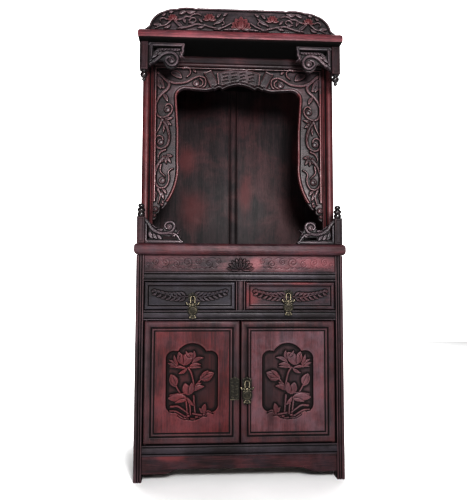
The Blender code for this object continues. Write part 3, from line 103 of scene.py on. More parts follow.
def flow(points: Line) -> Line:
    """Draw a smooth line through some points.

    Args:
        points: places that the line passes through.

    Returns:
        The points of the smooth line, at most FLOW_STEP apart.
    """
    knots = np.array(points, float)
    knots = np.vstack([2 * knots[0] - knots[1], knots, 2 * knots[-1] - knots[-2]])
    line = []
    for a, b, c, d in zip(knots, knots[1:], knots[2:], knots[3:]):
        count = max(1, math.ceil(np.hypot(*(c - b)) / FLOW_STEP))
        for i in range(count):
            t = i / count
            line.append(0.5 * (2 * b + (c - a) * t + (2 * a - 5 * b + 4 * c - d) * t * t
                               + (3 * b - a - 3 * c + d) * t ** 3))
    line.append(knots[-2])
    return [(float(x), float(z)) for x, z in line]


def arcs(corners: Section, anchor: Point, flip: int, step: float) -> Line:
    """Draw a line of straight runs and arcs.

    Args:
        corners: x, z and bulge of each corner. A bulge is the tangent of a quarter of the arc that follows.
        anchor: place that the corners are measured from.
        flip: -1 mirrors x.
        step: degrees between two points of an arc.

    Returns:
        The points of the line.
    """
    line = []
    for (x0, z0, bulge), (x1, z1, _) in zip(corners, corners[1:]):
        sweep = 4 * math.atan(bulge)
        count = max(1, math.ceil(abs(math.degrees(sweep)) / step))
        if count == 1:
            line.append((x0, z0))
            continue
        offset = (1 - bulge * bulge) / (4 * bulge)
        centre_x = (x0 + x1) / 2 - (z1 - z0) * offset
        centre_z = (z0 + z1) / 2 + (x1 - x0) * offset
        for i in range(count):
            turn = sweep * i / count
            arm_x = x0 - centre_x
            arm_z = z0 - centre_z
            line.append((centre_x + arm_x * math.cos(turn) - arm_z * math.sin(turn),
                         centre_z + arm_x * math.sin(turn) + arm_z * math.cos(turn)))
    line.append(corners[-1][:2])
    return [(anchor[0] + flip * x, anchor[1] + z) for x, z in line]


def spiral(centre: Point, start: float, turn: float, radius_from: float, radius_to: float) -> Line:
    """Draw a spiral.

    Args:
        centre: middle of the spiral.
        start: angle of its first point, in degrees.
        turn: degrees it runs through, positive anticlockwise.
        radius_from: first radius.
        radius_to: last radius.

    Returns:
        The points of the spiral.
    """
    count = max(4, round(abs(turn) / SPIRAL_STEP))
    line = []
    for i in range(count + 1):
        share = i / count
        angle = math.radians(start + turn * share)
        radius = radius_from + (radius_to - radius_from) * share
        line.append((centre[0] + radius * math.cos(angle), centre[1] + radius * math.sin(angle)))
    return line


def rectangle(low: Point, high: Point) -> Line:
    """Return a rectangle's corners, anticlockwise from the lowest x and z."""
    return [low, (high[0], low[1]), high, (low[0], high[1])]


def both_ways(*petals: tuple[float, ...]) -> Iterator[tuple[float, ...]]:
    """Give each petal a twin that leans the other way, unless it stands upright.

    Args:
        petals: rows of numbers that begin with the petal's lean.

    Yields:
        Each row, the one that leans left before its twin.
    """
    for lean, *shape in petals:
        if lean:
            yield (-lean, *shape)
        yield (lean, *shape)


class Relief:
    """A field of carving heights in millimetres over a rectangle of a board's face."""

    KEPT_PAINTED_SHADE = 0.3  # share of the ground's painted shade that a form on it keeps
    OUTSIDE = 9.0  # ratio of the cells that a form doesn't reach
    CUT_WIDTH = 0.9  # breadth of the line along the middle of a stem or leaf
    THIN = 0.55  # share of its height that a band would keep where it runs out
    EDGE = 0.35  # share of a leaf's rise that its edge has
    ENDS = 0.82  # share of its height that a leaf keeps at its ends
    PAST_ENDS = 50.0  # millimetres that stand for the cells beyond a leaf's ends
    CRESCENT_SHIFT = 0.22  # how far a crescent's middle is off a disc's, as a share of its radius
    CRESCENT_RING = 0.72  # where the crescent runs, as a share of the radius
    CRESCENT_WIDTH = 0.13

    def __init__(self, low: Point, high: Point, cell: float, ground: float = 0.0) -> None:
        """Start a level field.

        Args:
            low: lowest x and z.
            high: highest x and z.
            cell: size of a cell.
            ground: height of the level ground.
        """
        self.cell = cell
        self.trench = 0.8
        self.columns = round((high[0] - low[0]) / cell)
        self.rows = round((high[1] - low[1]) / cell)
        self.x = np.linspace(low[0], high[0], self.columns + 1)
        self.z = np.linspace(low[1], high[1], self.rows + 1)
        self.height = np.full((self.rows + 1, self.columns + 1), float(ground))
        self.blush = np.zeros_like(self.height)
        # Painted shade of a sunk field, and a dark stain on some raised forms, taken off the carving's light
        # and shade.
        self.painted_shade_and_stain = np.zeros_like(self.height)
        self.pigment = 0.0

    def window(self, x0: float, x1: float, z0: float, z1: float) -> Area:
        """Find the cells that a rectangle covers.

        Args:
            x0: lowest x.
            x1: highest x.
            z0: lowest z.
            z1: highest z.

        Returns:
            The rows and the columns.
        """
        columns = slice(int(np.searchsorted(self.x, x0)), int(np.searchsorted(self.x, x1, "right")))
        rows = slice(int(np.searchsorted(self.z, z0)), int(np.searchsorted(self.z, z1, "right")))
        return rows, columns

    def around(self, x: float, z: float, margin: float) -> tuple[Area, np.ndarray, np.ndarray]:
        """Find the cells around a place.

        Args:
            x: the place.
            z: the place.
            margin: how far the cells reach, to which one more cell is added.

        Returns:
            The rows and columns, and their distances from the place along x and along z.
        """
        margin = margin + self.cell
        area = self.window(x - margin, x + margin, z - margin, z + margin)
        return area, self.x[area[1]][None, :] - x, self.z[area[0]][:, None] - z

    def lay(self, area: Area, ratio: np.ndarray, top: np.ndarray,
            reach: Union[float, np.ndarray], moat: float, over: bool) -> None:
        """Put a form on the field with a narrow trench around it.

        Args:
            area: rows and columns that it covers.
            ratio: under 1 inside the form, and 1 at its edge.
            top: heights of the form.
            reach: millimetres that a ratio of 1 stands for.
            moat: width of the trench.
            over: whether the form cuts what lies under it instead of growing out of it.
        """
        part = self.height[area]
        if moat > 0:
            beyond = (ratio - 1) * reach
            trench = (beyond > 0) & (beyond < moat)
            part[trench] -= (self.trench * (1 - beyond / moat))[trench]
        inside = (ratio < 1) if over else (ratio < 1) & (top > part)
        part[inside] = top[inside]
        self.blush[area][inside] = self.pigment
        # A form laid in a sunk field keeps part of its painted shade.
        self.painted_shade_and_stain[area][inside] *= self.KEPT_PAINTED_SHADE

    def stroke(self, line: Line, radius: float, tip: float = 1.0, rise: float = 3.0, base: float = 0.0,
               crown: float = 2.0, groove: float = 0.0, moat: float = 1.6, over: bool = False) -> None:
        """Carve a raised band along a line.

        Args:
            line: middle of the band.
            radius: half its width at the start.
            tip: half width at the end, as a share of the first.
            rise: height of the band over its base.
            base: height that the band's edges stand on.
            crown: 2 for a round band and more for a flatter one.
            groove: depth of a line along its middle.
            moat: width of the trench beside it.
            over: whether it cuts what lies under it.
        """
        points = np.array(line, float)
        steps = np.hypot(*np.diff(points, axis=0).T)
        shares = np.concatenate([[0.0], np.cumsum(steps)]) / max(steps.sum(), 1e-6)
        widths = radius * (1 + (tip - 1) * shares)
        margin = radius * max(1.0, tip) + moat + self.cell
        ratio = np.full_like(self.height, self.OUTSIDE)
        reach = np.full_like(self.height, radius)
        for i, length in enumerate(steps):
            if length < 1e-6:
                continue
            start = points[i]
            along = (points[i + 1] - start) / length
            low = np.minimum(start, points[i + 1]) - margin
            high = np.maximum(start, points[i + 1]) + margin
            part = self.window(low[0], high[0], low[1], high[1])
            dx = self.x[part[1]][None, :] - start[0]
            dz = self.z[part[0]][:, None] - start[1]
            run = np.clip(dx * along[0] + dz * along[1], 0, length)
            width = widths[i] + (widths[i + 1] - widths[i]) * run / length
            far = np.hypot(dx - run * along[0], dz - run * along[1]) / width
            nearer = far < ratio[part]
            ratio[part] = np.where(nearer, far, ratio[part])
            reach[part] = np.where(nearer, width, reach[part])
        profile = np.sqrt(np.clip(1 - np.minimum(ratio, 1) ** crown, 0, 1))
        top = base + rise * profile * np.minimum(1, self.THIN + (1 - self.THIN) * reach / radius)
        if groove:
            top = top - groove * np.exp(-(ratio * reach / self.CUT_WIDTH) ** 2)
        self.lay(EVERYWHERE, ratio, top, reach, moat, over)

    def leaf(self, x: float, z: float, width: float, length: float, rise: float, lean: float,
             base: float = 0.0, rib: float = 0.9, bend: float = 0.0, blunt: float = 0.0, cup: float = 0.0,
             moat: float = 1.6, over: bool = False) -> None:
        """Carve a leaf or petal with a middle rib.

        Args:
            x: middle.
            z: middle.
            width: widest part.
            length: from root to tip.
            rise: height over the base.
            lean: degrees that the tip leans clockwise from upright.
            base: height of its edge.
            rib: depth of the line along its middle.
            bend: sideways bow of the leaf as a share of its length.
            blunt: 0 for a pointed tip, 1 for a round one.
            cup: how far the middle sinks behind the edge, as a share of the rise.
            moat: width of the trench around it.
            over: whether it cuts what lies under it.
        """
        area, dx, dz = self.around(x, z, math.hypot(width, length) / 2 + abs(bend) * length + moat)
        lean_cos = math.cos(math.radians(lean))
        lean_sin = math.sin(math.radians(lean))
        along = (dx * lean_sin + dz * lean_cos) / (length / 2)
        across = dx * lean_cos - dz * lean_sin
        across = across + bend * length * (along ** 2 - 0.5)
        inner = np.clip(along, -1, 1)
        pointed = (1 - np.abs(inner) ** 1.7) ** 0.85 * (1 - 0.28 * inner)
        rounded = np.sqrt(1 - inner ** 2)
        half = width / 2 * (pointed * (1 - blunt) + rounded * blunt) + 1e-4
        ratio = np.abs(across) / half
        ratio = np.where(np.abs(along) >= 1, self.OUTSIDE, ratio)
        share = np.minimum(ratio, 1)
        body = np.sqrt(np.clip(1 - share ** 2.4, 0, 1)) - cup * np.clip(1 - share ** 2, 0, 1)
        arched = self.ENDS + (1 - self.ENDS) * (1 - inner ** 2)
        top = base + rise * (self.EDGE + (1 - self.EDGE) * body) * arched
        top = top - rib * np.exp(-(across / self.CUT_WIDTH) ** 2) * (inner > -0.95)
        reach = np.where(np.abs(along) >= 1, self.PAST_ENDS, half)
        self.lay(area, ratio, top, reach, moat, over)

    def disc(self, x: float, z: float, radius: float, rise: float, base: float = 0.0,
             crescent: float = 0.0, squash: float = 1.0, moat: float = 1.6, over: bool = False) -> None:
        """Carve a round boss, such as a flower's bud or a scroll's eye.

        Args:
            x: middle.
            z: middle.
            radius: half its width.
            rise: height over the base.
            base: height of its edge.
            crescent: depth of a curved cut at its upper right.
            squash: its height as a share of its width.
            moat: width of the trench around it.
            over: whether it cuts what lies under it.
        """
        area, dx, dz = self.around(x, z, radius * max(1, squash) + moat)
        dz = dz / squash
        ratio = np.hypot(dx, dz) / radius
        top = base + rise * np.sqrt(np.clip(1 - np.minimum(ratio, 1) ** 2.2, 0, 1))
        if crescent:
            shift = radius * self.CRESCENT_SHIFT
            ring = np.hypot(dx + shift, dz + shift) / radius - self.CRESCENT_RING
            bearing = np.clip((dx + dz) / radius, 0, 1)
            top = top - crescent * np.exp(-(ring / self.CRESCENT_WIDTH) ** 2) * np.sqrt(bearing)
        self.lay(area, ratio, top, radius, moat, over)

    def stem(self, stem: "Stem", **shape: float) -> None:
        """Carve a scrolling stem as a smooth band, with what else stroke takes."""
        self.stroke(flow(list(stem.points)), stem.radius, stem.tip, **shape)

    def blade(self, blade: "Blade", **shape: float) -> None:
        """Carve a leaf from its root to its tip.

        Args:
            blade: the leaf.
            shape: what else the method leaf takes.
        """
        across = blade.tip[0] - blade.root[0]
        up = blade.tip[1] - blade.root[1]
        lean = math.degrees(math.atan2(across, up))
        self.leaf(blade.root[0] + across / 2, blade.root[1] + up / 2, blade.width, math.hypot(across, up),
                  blade.rise, lean, bend=blade.bend, blunt=blade.blunt, **shape)

    def engrave(self, line: Line, width: float, depth: float) -> None:
        """Cut a fine line into the field.

        Args:
            line: middle of the cut.
            width: half its width.
            depth: how deep it goes.
        """
        before = self.height.copy()
        self.stroke(line, width * 2.2, rise=1.0, moat=0.0, over=True)
        touched = self.height != before
        cut = np.where(touched, self.height, 0.0)
        self.height = before - depth * cut * touched

    def mirror(self) -> None:
        """Give the left half the mirror image of the right half."""
        middle = self.height.shape[1] // 2
        for values in (self.height, self.blush):
            values[:, :middle] = values[:, values.shape[1] - middle:][:, ::-1]

    def blurred(self, radius: float) -> np.ndarray:
        """Smooth the heights.

        Args:
            radius: how far the smoothing reaches.

        Returns:
            The smoothed heights.
        """
        reach = max(1, round(radius / self.cell))
        kernel = np.hanning(2 * reach + 3)[1:-1]
        kernel /= kernel.sum()
        wide = np.pad(self.height, reach, mode="edge")
        for axis in (1, 0):
            wide = np.apply_along_axis(np.convolve, axis, wide, kernel, "valid")
        return wide


class Outline:
    """Which cells of a relief lie inside a board's outline, and where its edge is."""

    MARGIN = 16.0

    def __init__(self, relief: Relief, loops: list[Line]) -> None:
        """Measure the outline on the relief's grid.

        Args:
            relief: field that gives the grid.
            loops: closed lines, the outer edge and any holes.
        """
        middle_x = (relief.x[:-1] + relief.x[1:]) / 2
        middle_z = (relief.z[:-1] + relief.z[1:]) / 2
        self.cells = self.inside(middle_x, middle_z, loops)
        self.points = self.inside(relief.x, relief.z, loops)
        shape = relief.height.shape
        self.distance = np.full(shape, self.MARGIN)
        self.near_x = np.zeros(shape)
        self.near_z = np.zeros(shape)
        for loop in loops:
            for (x0, z0), (x1, z1) in zip(loop, loop[1:] + loop[:1]):
                self.measure(relief, x0, z0, x1, z1)

    @staticmethod
    def inside(x: np.ndarray, z: np.ndarray, loops: list[Line]) -> np.ndarray:
        """Find out what lies inside.

        Args:
            x: places of the columns.
            z: places of the rows.
            loops: closed lines, the outer edge and any holes.

        Returns:
            Whether each crossing of a row and a column lies inside.
        """
        result = np.zeros((z.size, x.size), bool)
        for loop in loops:
            for (x0, z0), (x1, z1) in zip(loop, loop[1:] + loop[:1]):
                low, high = sorted((z0, z1))
                rows = np.nonzero((z >= low) & (z < high))[0]
                if rows.size:
                    crossing = x0 + (z[rows] - z0) * (x1 - x0) / (z1 - z0)
                    result[rows] ^= x[None, :] > crossing[:, None]
        return result

    def measure(self, relief: Relief, x0: float, z0: float, x1: float, z1: float) -> None:
        """Take in the distance to one straight piece of the outline.

        Args:
            relief: field that gives the grid.
            x0: x of the piece's start.
            z0: z of its start.
            x1: x of its end.
            z1: z of its end.
        """
        length = math.hypot(x1 - x0, z1 - z0)
        if length < 1e-6:
            return
        area = relief.window(min(x0, x1) - self.MARGIN, max(x0, x1) + self.MARGIN,
                             min(z0, z1) - self.MARGIN, max(z0, z1) + self.MARGIN)
        dx = relief.x[area[1]][None, :] - x0
        dz = relief.z[area[0]][:, None] - z0
        along_x = (x1 - x0) / length
        along_z = (z1 - z0) / length
        run = np.clip(dx * along_x + dz * along_z, 0, length)
        far = np.hypot(dx - run * along_x, dz - run * along_z)
        nearer = far < self.distance[area]
        self.distance[area] = np.where(nearer, far, self.distance[area])
        self.near_x[area] = np.where(nearer, x0 + run * along_x, self.near_x[area])
        self.near_z[area] = np.where(nearer, z0 + run * along_z, self.near_z[area])


def in_metres(bm: BMesh) -> BMesh:
    """Bring a closed mesh from millimetres to metres, turn its faces outwards and return it."""
    bmesh.ops.scale(bm, vec=(MM, MM, MM), verts=bm.verts)
    bmesh.ops.recalc_face_normals(bm, faces=bm.faces)
    return bm


@dataclass
class Board:
    """A board whose face carries a relief and whose edge follows an outline."""

    relief: Relief
    loops: list[Line]
    face: float
    thickness: float
    arris: float = 1.2
    edging: Optional[Callable[[Relief, np.ndarray], None]] = None

    # Reach of the blurs that find ridges and hollows, the rise that counts as full, and the share of a cell
    # under which two points of the rim become one
    NEAR_REACH = 4.0
    NEAR_RISE = 1.6
    BROAD_REACH = 12.0
    BROAD_RISE = 4.5
    RIM_WELD = 0.08

    def shade(self) -> np.ndarray:
        """Find the carving's light and shade.

        Returns:
            A field that is over 0 on ridges and under 0 in hollows.
        """
        relief = self.relief
        near = (relief.height - relief.blurred(self.NEAR_REACH)) / self.NEAR_RISE
        broad = (relief.height - relief.blurred(self.BROAD_REACH)) / self.BROAD_RISE
        # The painted shade of a sunk field and any dark stain make it darker still.
        return np.clip(near + np.minimum(broad, 0) - relief.painted_shade_and_stain, -1, 1)

    def front(self, bm: BMesh) -> None:
        """Cut the board's front out of a grid and raise its carving.

        Args:
            bm: empty mesh with the layers relief and blush.
        """
        relief = self.relief
        outline = Outline(relief, self.loops)
        if self.edging:
            self.edging(relief, outline.distance)
        shade = self.shade()
        layer = bm.verts.layers.float["relief"]
        blush = bm.verts.layers.float["blush"]
        bmesh.ops.create_grid(bm, x_segments=relief.columns, y_segments=relief.rows, size=0.5)
        places = {}
        for vertex in bm.verts:
            column = round((vertex.co.x + 0.5) * relief.columns)
            row = round((vertex.co.y + 0.5) * relief.rows)
            places[vertex] = (row, column)
            vertex[layer] = float(shade[row, column])
            vertex[blush] = float(relief.blush[row, column])
        outside = []
        for face in bm.faces:
            corner = min(places[vertex] for vertex in face.verts)
            if not outline.cells[corner]:
                outside.append(face)
        for vertex, (row, column) in places.items():
            vertex.co = (relief.x[column], self.face - relief.height[row, column], relief.z[row])
        bmesh.ops.delete(bm, geom=outside, context="FACES")
        for vertex in bm.verts:
            place = places[vertex]
            distance = float(outline.distance[place])
            if vertex.is_boundary:
                vertex.co.x = outline.near_x[place]
                vertex.co.z = outline.near_z[place]
                distance = 0.0
            if distance < self.arris:
                share = 1 - distance / self.arris
                vertex.co.y += self.arris * (1 - math.sqrt(1 - share * share))
        bmesh.ops.remove_doubles(bm, verts=bm.verts, dist=relief.cell * self.RIM_WELD)

    def sink(self, bm: BMesh, verts: list[bmesh.types.BMVert]) -> None:
        """Move points to the board's back, where nothing is carved.

        Args:
            bm: the mesh.
            verts: its points.
        """
        layer = bm.verts.layers.float["relief"]
        for vertex in verts:
            vertex.co.y = self.face + self.thickness
            vertex[layer] = 0.0

    def mesh(self) -> BMesh:
        """Make the board's front and close its sides and back.

        Returns:
            The finished mesh in metres, with its carving's light and shade in the layer relief.
        """
        bm = bmesh.new()
        for name in ("relief", "blush"):
            bm.verts.layers.float.new(name)
        self.front(bm)
        front = list(bm.faces)
        rim = [edge for edge in bm.edges if edge.is_boundary]
        walls = bmesh.ops.extrude_edge_only(bm, edges=rim)["geom"]
        back = [item for item in walls if isinstance(item, bmesh.types.BMVert)]
        self.sink(bm, back)
        if len(self.loops) > 1:
            copied = bmesh.ops.duplicate(bm, geom=front)["geom"]
            copies = [item for item in copied if isinstance(item, bmesh.types.BMVert)]
            self.sink(bm, copies)
            bmesh.ops.remove_doubles(bm, verts=back + copies, dist=WELD)
        else:
            edges = [item for item in walls if isinstance(item, bmesh.types.BMEdge) and item.is_boundary]
            bmesh.ops.triangle_fill(bm, use_beauty=False, use_dissolve=False, edges=edges, normal=(0, 1, 0))
        return in_metres(bm)


class Value:
    """A number inside a node tree, with arithmetic that adds Math nodes."""

    def __init__(self, shader: "Shader", socket: bpy.types.NodeSocket) -> None:
        """Wrap an output socket of a shader."""
        self.shader = shader
        self.socket = socket

    def calculate(self, operation: str, *values: Number) -> "Value":
        """Add a Math node and return its result."""
        inputs = {i: value for i, value in enumerate(values)}
        return self.shader.node("ShaderNodeMath", {"operation": operation}, inputs)

    def __add__(self, other: Number) -> "Value":
        """Return the sum."""
        return self.calculate("ADD", self, other)

    def __radd__(self, other: float) -> "Value":
        """Return the sum."""
        return self.calculate("ADD", other, self)

    def __sub__(self, other: Number) -> "Value":
        """Return the difference."""
        return self.calculate("SUBTRACT", self, other)

    def __rsub__(self, other: float) -> "Value":
        """Return the difference."""
        return self.calculate("SUBTRACT", other, self)

    def __mul__(self, other: Number) -> "Value":
        """Return the product."""
        return self.calculate("MULTIPLY", self, other)

    def __rmul__(self, other: float) -> "Value":
        """Return the product."""
        return self.calculate("MULTIPLY", other, self)

    def step(self, low: float, high: float) -> "Value":
        """Return 0 under low and 1 over high, with a soft passage between."""
        settings = {"interpolation_type": "SMOOTHSTEP", "clamp": True}
        inputs = {"Value": self, "From Min": low, "From Max": high, "To Min": 0.0, "To Max": 1.0}
        return self.shader.node("ShaderNodeMapRange", settings, inputs)


class Shader:
    """A procedural material under construction."""

    def __init__(self, name: str) -> None:
        """Start a material with its Principled BSDF.

        Args:
            name: the material's name.
        """
        self.material = bpy.data.materials.new(name)
        self.material.use_nodes = True
        self.tree = self.material.node_tree
        self.surface = self.tree.nodes["Principled BSDF"]
        self.place = self.raw("ShaderNodeTexCoord").outputs["Object"]

    def raw(self, kind: str, settings: Optional[dict] = None,
            inputs: Optional[dict] = None) -> bpy.types.Node:
        """Add a node.

        Args:
            kind: type of the node.
            settings: its properties, set first.
            inputs: values or links of its sockets by name or number.

        Returns:
            The node.
        """
        node = self.tree.nodes.new(kind)
        for key, value in (settings or {}).items():
            setattr(node, key, value)
        for key, value in (inputs or {}).items():
            self.connect(node.inputs[key], value)
        return node

    def node(self, kind: str, settings: Optional[dict] = None, inputs: Optional[dict] = None,
             output: Union[int, str] = 0) -> Value:
        """Add a node and return one of its outputs as a value."""
        return Value(self, self.raw(kind, settings, inputs).outputs[output])

    def connect(self, socket: bpy.types.NodeSocket, value: object) -> None:
        """Link a value to a socket, or set the socket to it.

        Args:
            socket: the input.
            value: a value, an output socket, or a constant.
        """
        if isinstance(value, Value):
            value = value.socket
        if isinstance(value, bpy.types.NodeSocket):
            self.tree.links.new(value, socket)
        else:
            socket.default_value = value

    def stretched(self, scale: Place) -> Value:
        """Return the place on the object, scaled along each axis."""
        inputs = {"Vector": self.place, "Scale": scale}
        return self.node("ShaderNodeMapping", {"vector_type": "POINT"}, inputs)

    def noise(self, vector: Value, scale: float, detail: float = 4.0, roughness: float = 0.55,
              distortion: float = 0.0) -> Value:
        """Make fractal noise.

        Args:
            vector: place that it is read at.
            scale: how fine it is.
            detail: number of its octaves.
            roughness: weight of the finer octaves.
            distortion: how much it is swirled.

        Returns:
            The noise, from 0 to 1.
        """
        inputs = {"Vector": vector, "Scale": scale, "Detail": detail, "Roughness": roughness,
                  "Distortion": distortion}
        return self.node("ShaderNodeTexNoise", {"noise_dimensions": "3D"}, inputs)

    def cloud(self, scale: float, *look: float) -> Value:
        """Return noise that is the same along every axis."""
        return self.noise(self.stretched((1.0, 1.0, 1.0)), scale, *look)

    def fibres(self, grain: "Grain", scale: float, *look: float) -> Value:
        """Return noise that is drawn out along the wood's fibres."""
        return self.noise(self.stretched(tuple(scale * part for part in grain.value)), 1.0, *look)

    def cover(self, colour: Value, rough: Value) -> None:
        """Give the surface its varying colour and roughness."""
        self.connect(self.surface.inputs["Base Color"], colour)
        self.connect(self.surface.inputs["Roughness"], rough)

    def polish(self, coat: float, coat_rough: float) -> None:
        """Put a clear coat on the surface."""
        self.surface.inputs["Coat Weight"].default_value = coat
        self.surface.inputs["Coat Roughness"].default_value = coat_rough

    def attribute(self, name: str) -> Value:
        """Return a number stored on the mesh, 0 where it has none."""
        settings = {"attribute_type": "GEOMETRY", "attribute_name": name}
        return self.node("ShaderNodeAttribute", settings, None, "Fac")

    def mix(self, share: Number, first: object, second: object) -> Value:
        """Blend two colours."""
        colours = [(*item, 1.0) if isinstance(item, tuple) else item for item in (first, second)]
        settings = {"data_type": "RGBA", "blend_type": "MIX", "clamp_factor": True}
        return self.node("ShaderNodeMix", settings, {0: share, 6: colours[0], 7: colours[1]}, 2)

    def bump(self, height: Value, strength: float, distance: float) -> None:
        """Feed a height into the surface's normal."""
        inputs = {"Height": height, "Strength": strength, "Distance": distance}
        normal = self.raw("ShaderNodeBump", None, inputs)
        self.tree.links.new(normal.outputs["Normal"], self.surface.inputs["Normal"])


class Grain(Enum):
    """Axis along which the wood's fibres run."""

    X = (0.06, 1.0, 1.0)
    Y = (1.0, 0.06, 1.0)
    Z = (1.0, 1.0, 0.06)


@dataclass(frozen=True)
class Wood:
    """Oiled rosewood: dark streaks, open pores, a red-brown ground, rubbed edges and a dull film of dust with
    a painted sheen, with painted shade in carved hollows and on faces that look down and painted highlights
    on carved ridges.
    """

    name: str
    slot: str
    heart: Colour
    dark: Colour
    worn: Colour
    # A greyish, bluish film in random patches: dust on the finish, made greyer as a painted sheen.
    dust_and_sheen: Colour = (0.043, 0.04, 0.053)
    dust_and_sheen_share: float = 0.35
    # Colour of the painted shade in carved hollows.
    painted_recess_shade: Colour = (0.004, 0.003, 0.003)
    # Colour of the painted shade on faces that look down.
    painted_shade_and_stain: Colour = (0.0015, 0.0012, 0.0012)
    blush: Colour = (0.125, 0.028, 0.03)
    patches: tuple[tuple[float, float, float, float], ...] = ()
    # Colour of carved ridges: rubbed wear with a painted highlight.
    ridge_wear_and_highlight: Colour = (0.13, 0.088, 0.094)
    gloss: float = 0.4
    wear: float = 0.5
    grain: Grain = Grain.Z
    coat: float = 0.04
    shine: float = 0.25
    # Whether faces that look down are darkened as painted shade.
    painted_underside_shade: bool = False

    def material(self) -> bpy.types.Material:
        """Build the shader.

        Returns:
            The material.
        """
        shader = Shader(f"{self.name}_{self.grain.name.lower()}")
        broad = shader.fibres(self.grain, 38, 3.0, 0.5, 0.6)
        streak = shader.fibres(self.grain, 260, 4.0, 0.6, 0.4)
        pore = shader.fibres(self.grain, 1500, 2.0, 0.5)
        patch = shader.cloud(7.5, 4.0, 0.62, 0.3)
        smudge = shader.cloud(26.0, 5.0, 0.65)
        # The carving's light and shade, stored on the mesh: over 0 on ridges, under 0 in hollows; it paints
        # shade and highlights into the colour below.
        carving_light_and_shade = shader.attribute("relief")

        figure = (0.55 * broad + 0.45 * streak).step(0.36, 0.66)
        colour = shader.mix(figure, self.dark, self.heart)
        rubbed = (patch + carving_light_and_shade * 0.16 + streak * 0.18).step(0.5, 0.8) * self.wear
        colour = shader.mix(rubbed, colour, self.worn)
        # Random patches of dust with a painted sheen.
        dust_and_sheen = (smudge * 0.6 + patch * 0.4).step(0.38, 0.66) * self.dust_and_sheen_share
        colour = shader.mix(dust_and_sheen, colour, self.dust_and_sheen)
        pores = (1 - pore.step(0.3, 0.44)) * 0.55
        colour = shader.mix(pores, colour, self.dark)
        for x, z, half_x, half_z in self.patches:
            spot = self.patch(shader, x, z, half_x, half_z) + 0.5 * patch + 0.25 * streak
            colour = shader.mix(spot.step(0.75, 1.25) * 0.8, colour, self.worn)
        colour = shader.mix(shader.attribute("blush") * (0.3 + 0.7 * smudge), colour, self.blush)
        # Painted shade: carved hollows turn near black.
        painted_hollow_shade = (0 - carving_light_and_shade).step(0.04, 0.6) * 0.92
        colour = shader.mix(painted_hollow_shade, colour, self.painted_recess_shade)
        # Painted highlight with wear: carved ridges turn a light rubbed colour.
        ridge_wear_and_highlight = carving_light_and_shade.step(0.15, 0.85) * (0.3 + 0.6 * smudge) * self.wear
        colour = shader.mix(ridge_wear_and_highlight, colour, self.ridge_wear_and_highlight)
        rough = self.gloss + 0.18 * smudge - 0.1 * rubbed + 0.25 * painted_hollow_shade + 0.1 * pores
        # Painted shade: faces that look down, such as the canopy's underside, turn near black.
        if self.painted_underside_shade:
            normal = shader.raw("ShaderNodeNewGeometry").outputs["Normal"]
            facing = shader.node("ShaderNodeSeparateXYZ", None, {"Vector": normal}, "Z")
            painted_shade_and_stain = (0 - facing).step(0.3, 0.6)
            colour = shader.mix(painted_shade_and_stain, colour, self.painted_shade_and_stain)
            rough = rough + 0.5 * painted_shade_and_stain
        shader.cover(colour, rough)
        shader.polish(self.coat, 0.28)
        shader.surface.inputs["Specular IOR Level"].default_value = self.shine
        height = 0.5 * streak - 0.8 * pores + 0.35 * smudge
        shader.bump(height, 0.35, 0.0006)
        return shader.material

    @staticmethod
    def patch(shader: Shader, x: float, z: float, half_x: float, half_z: float) -> Value:
        """Make an oval patch on the front.

        Args:
            shader: material that it belongs to.
            x: its middle.
            z: its middle.
            half_x: half its width.
            half_z: half its height.

        Returns:
            1 at its middle, 0 at its rim and less outside.
        """
        scale = (1 / half_x, 0.0, 1 / half_z)
        inputs = {"Vector": shader.place, "Scale": scale, "Location": (-x / half_x, 0.0, -z / half_z)}
        place = shader.node("ShaderNodeMapping", {"vector_type": "POINT"}, inputs)
        return 1 - shader.node("ShaderNodeVectorMath", {"operation": "LENGTH"}, {0: place}, "Value")


@dataclass(frozen=True)
class Turning:
    """Black-stained turned wood with a polish that has worn through on the beads."""

    name: str = "ebonised"
    slot: str = "ebonised_turnings"

    def material(self) -> bpy.types.Material:
        """Build the shader.

        Returns:
            The material.
        """
        shader = Shader(self.name)
        fine = shader.noise(shader.stretched((60.0, 60.0, 700.0)), 1.0, 3.0)
        smudge = shader.cloud(60.0, 4.0)
        colour = shader.mix(fine.step(0.4, 0.7), (0.01, 0.008, 0.009), (0.022, 0.017, 0.018))
        colour = shader.mix((smudge + shader.attribute("relief") * 0.2).step(0.55, 0.8) * 0.5, colour,
                            (0.06, 0.04, 0.04))
        shader.cover(colour, 0.2 + 0.22 * smudge)
        shader.polish(0.3, 0.12)
        shader.bump(fine, 0.25, 0.0004)
        return shader.material


@dataclass(frozen=True)
class Brass:
    """Old cast brass: olive-brown patina with bright metal where hands have rubbed it."""

    name: str
    slot: str = "aged_brass"
    metal: Colour = (0.62, 0.54, 0.4)
    patina: Colour = (0.013, 0.011, 0.007)
    rubbing: float = 0.55

    def material(self) -> bpy.types.Material:
        """Build the shader.

        Returns:
            The material.
        """
        shader = Shader(self.name)
        smudge = shader.cloud(85.0, 5.0, 0.65)
        grit = shader.cloud(620.0, 3.0, 0.6)
        carving_light_and_shade = shader.attribute("relief")
        bright = (smudge * 0.6 + carving_light_and_shade * 0.9 + grit * 0.15).step(0.45, 1.0) * self.rubbing
        verdigris = (shader.cloud(150.0, 4.0) - carving_light_and_shade * 0.2).step(0.6, 0.72)
        colour = shader.mix(bright, self.patina, self.metal)
        colour = shader.mix(verdigris * 0.35, colour, (0.04, 0.052, 0.036))
        shader.cover(colour, 0.5 - 0.22 * bright + 0.12 * grit)
        shader.connect(shader.surface.inputs["Metallic"], 0.35 + 0.6 * bright)
        shader.bump(grit * 0.6 + smudge * 0.4, 0.35, 0.0005)
        return shader.material


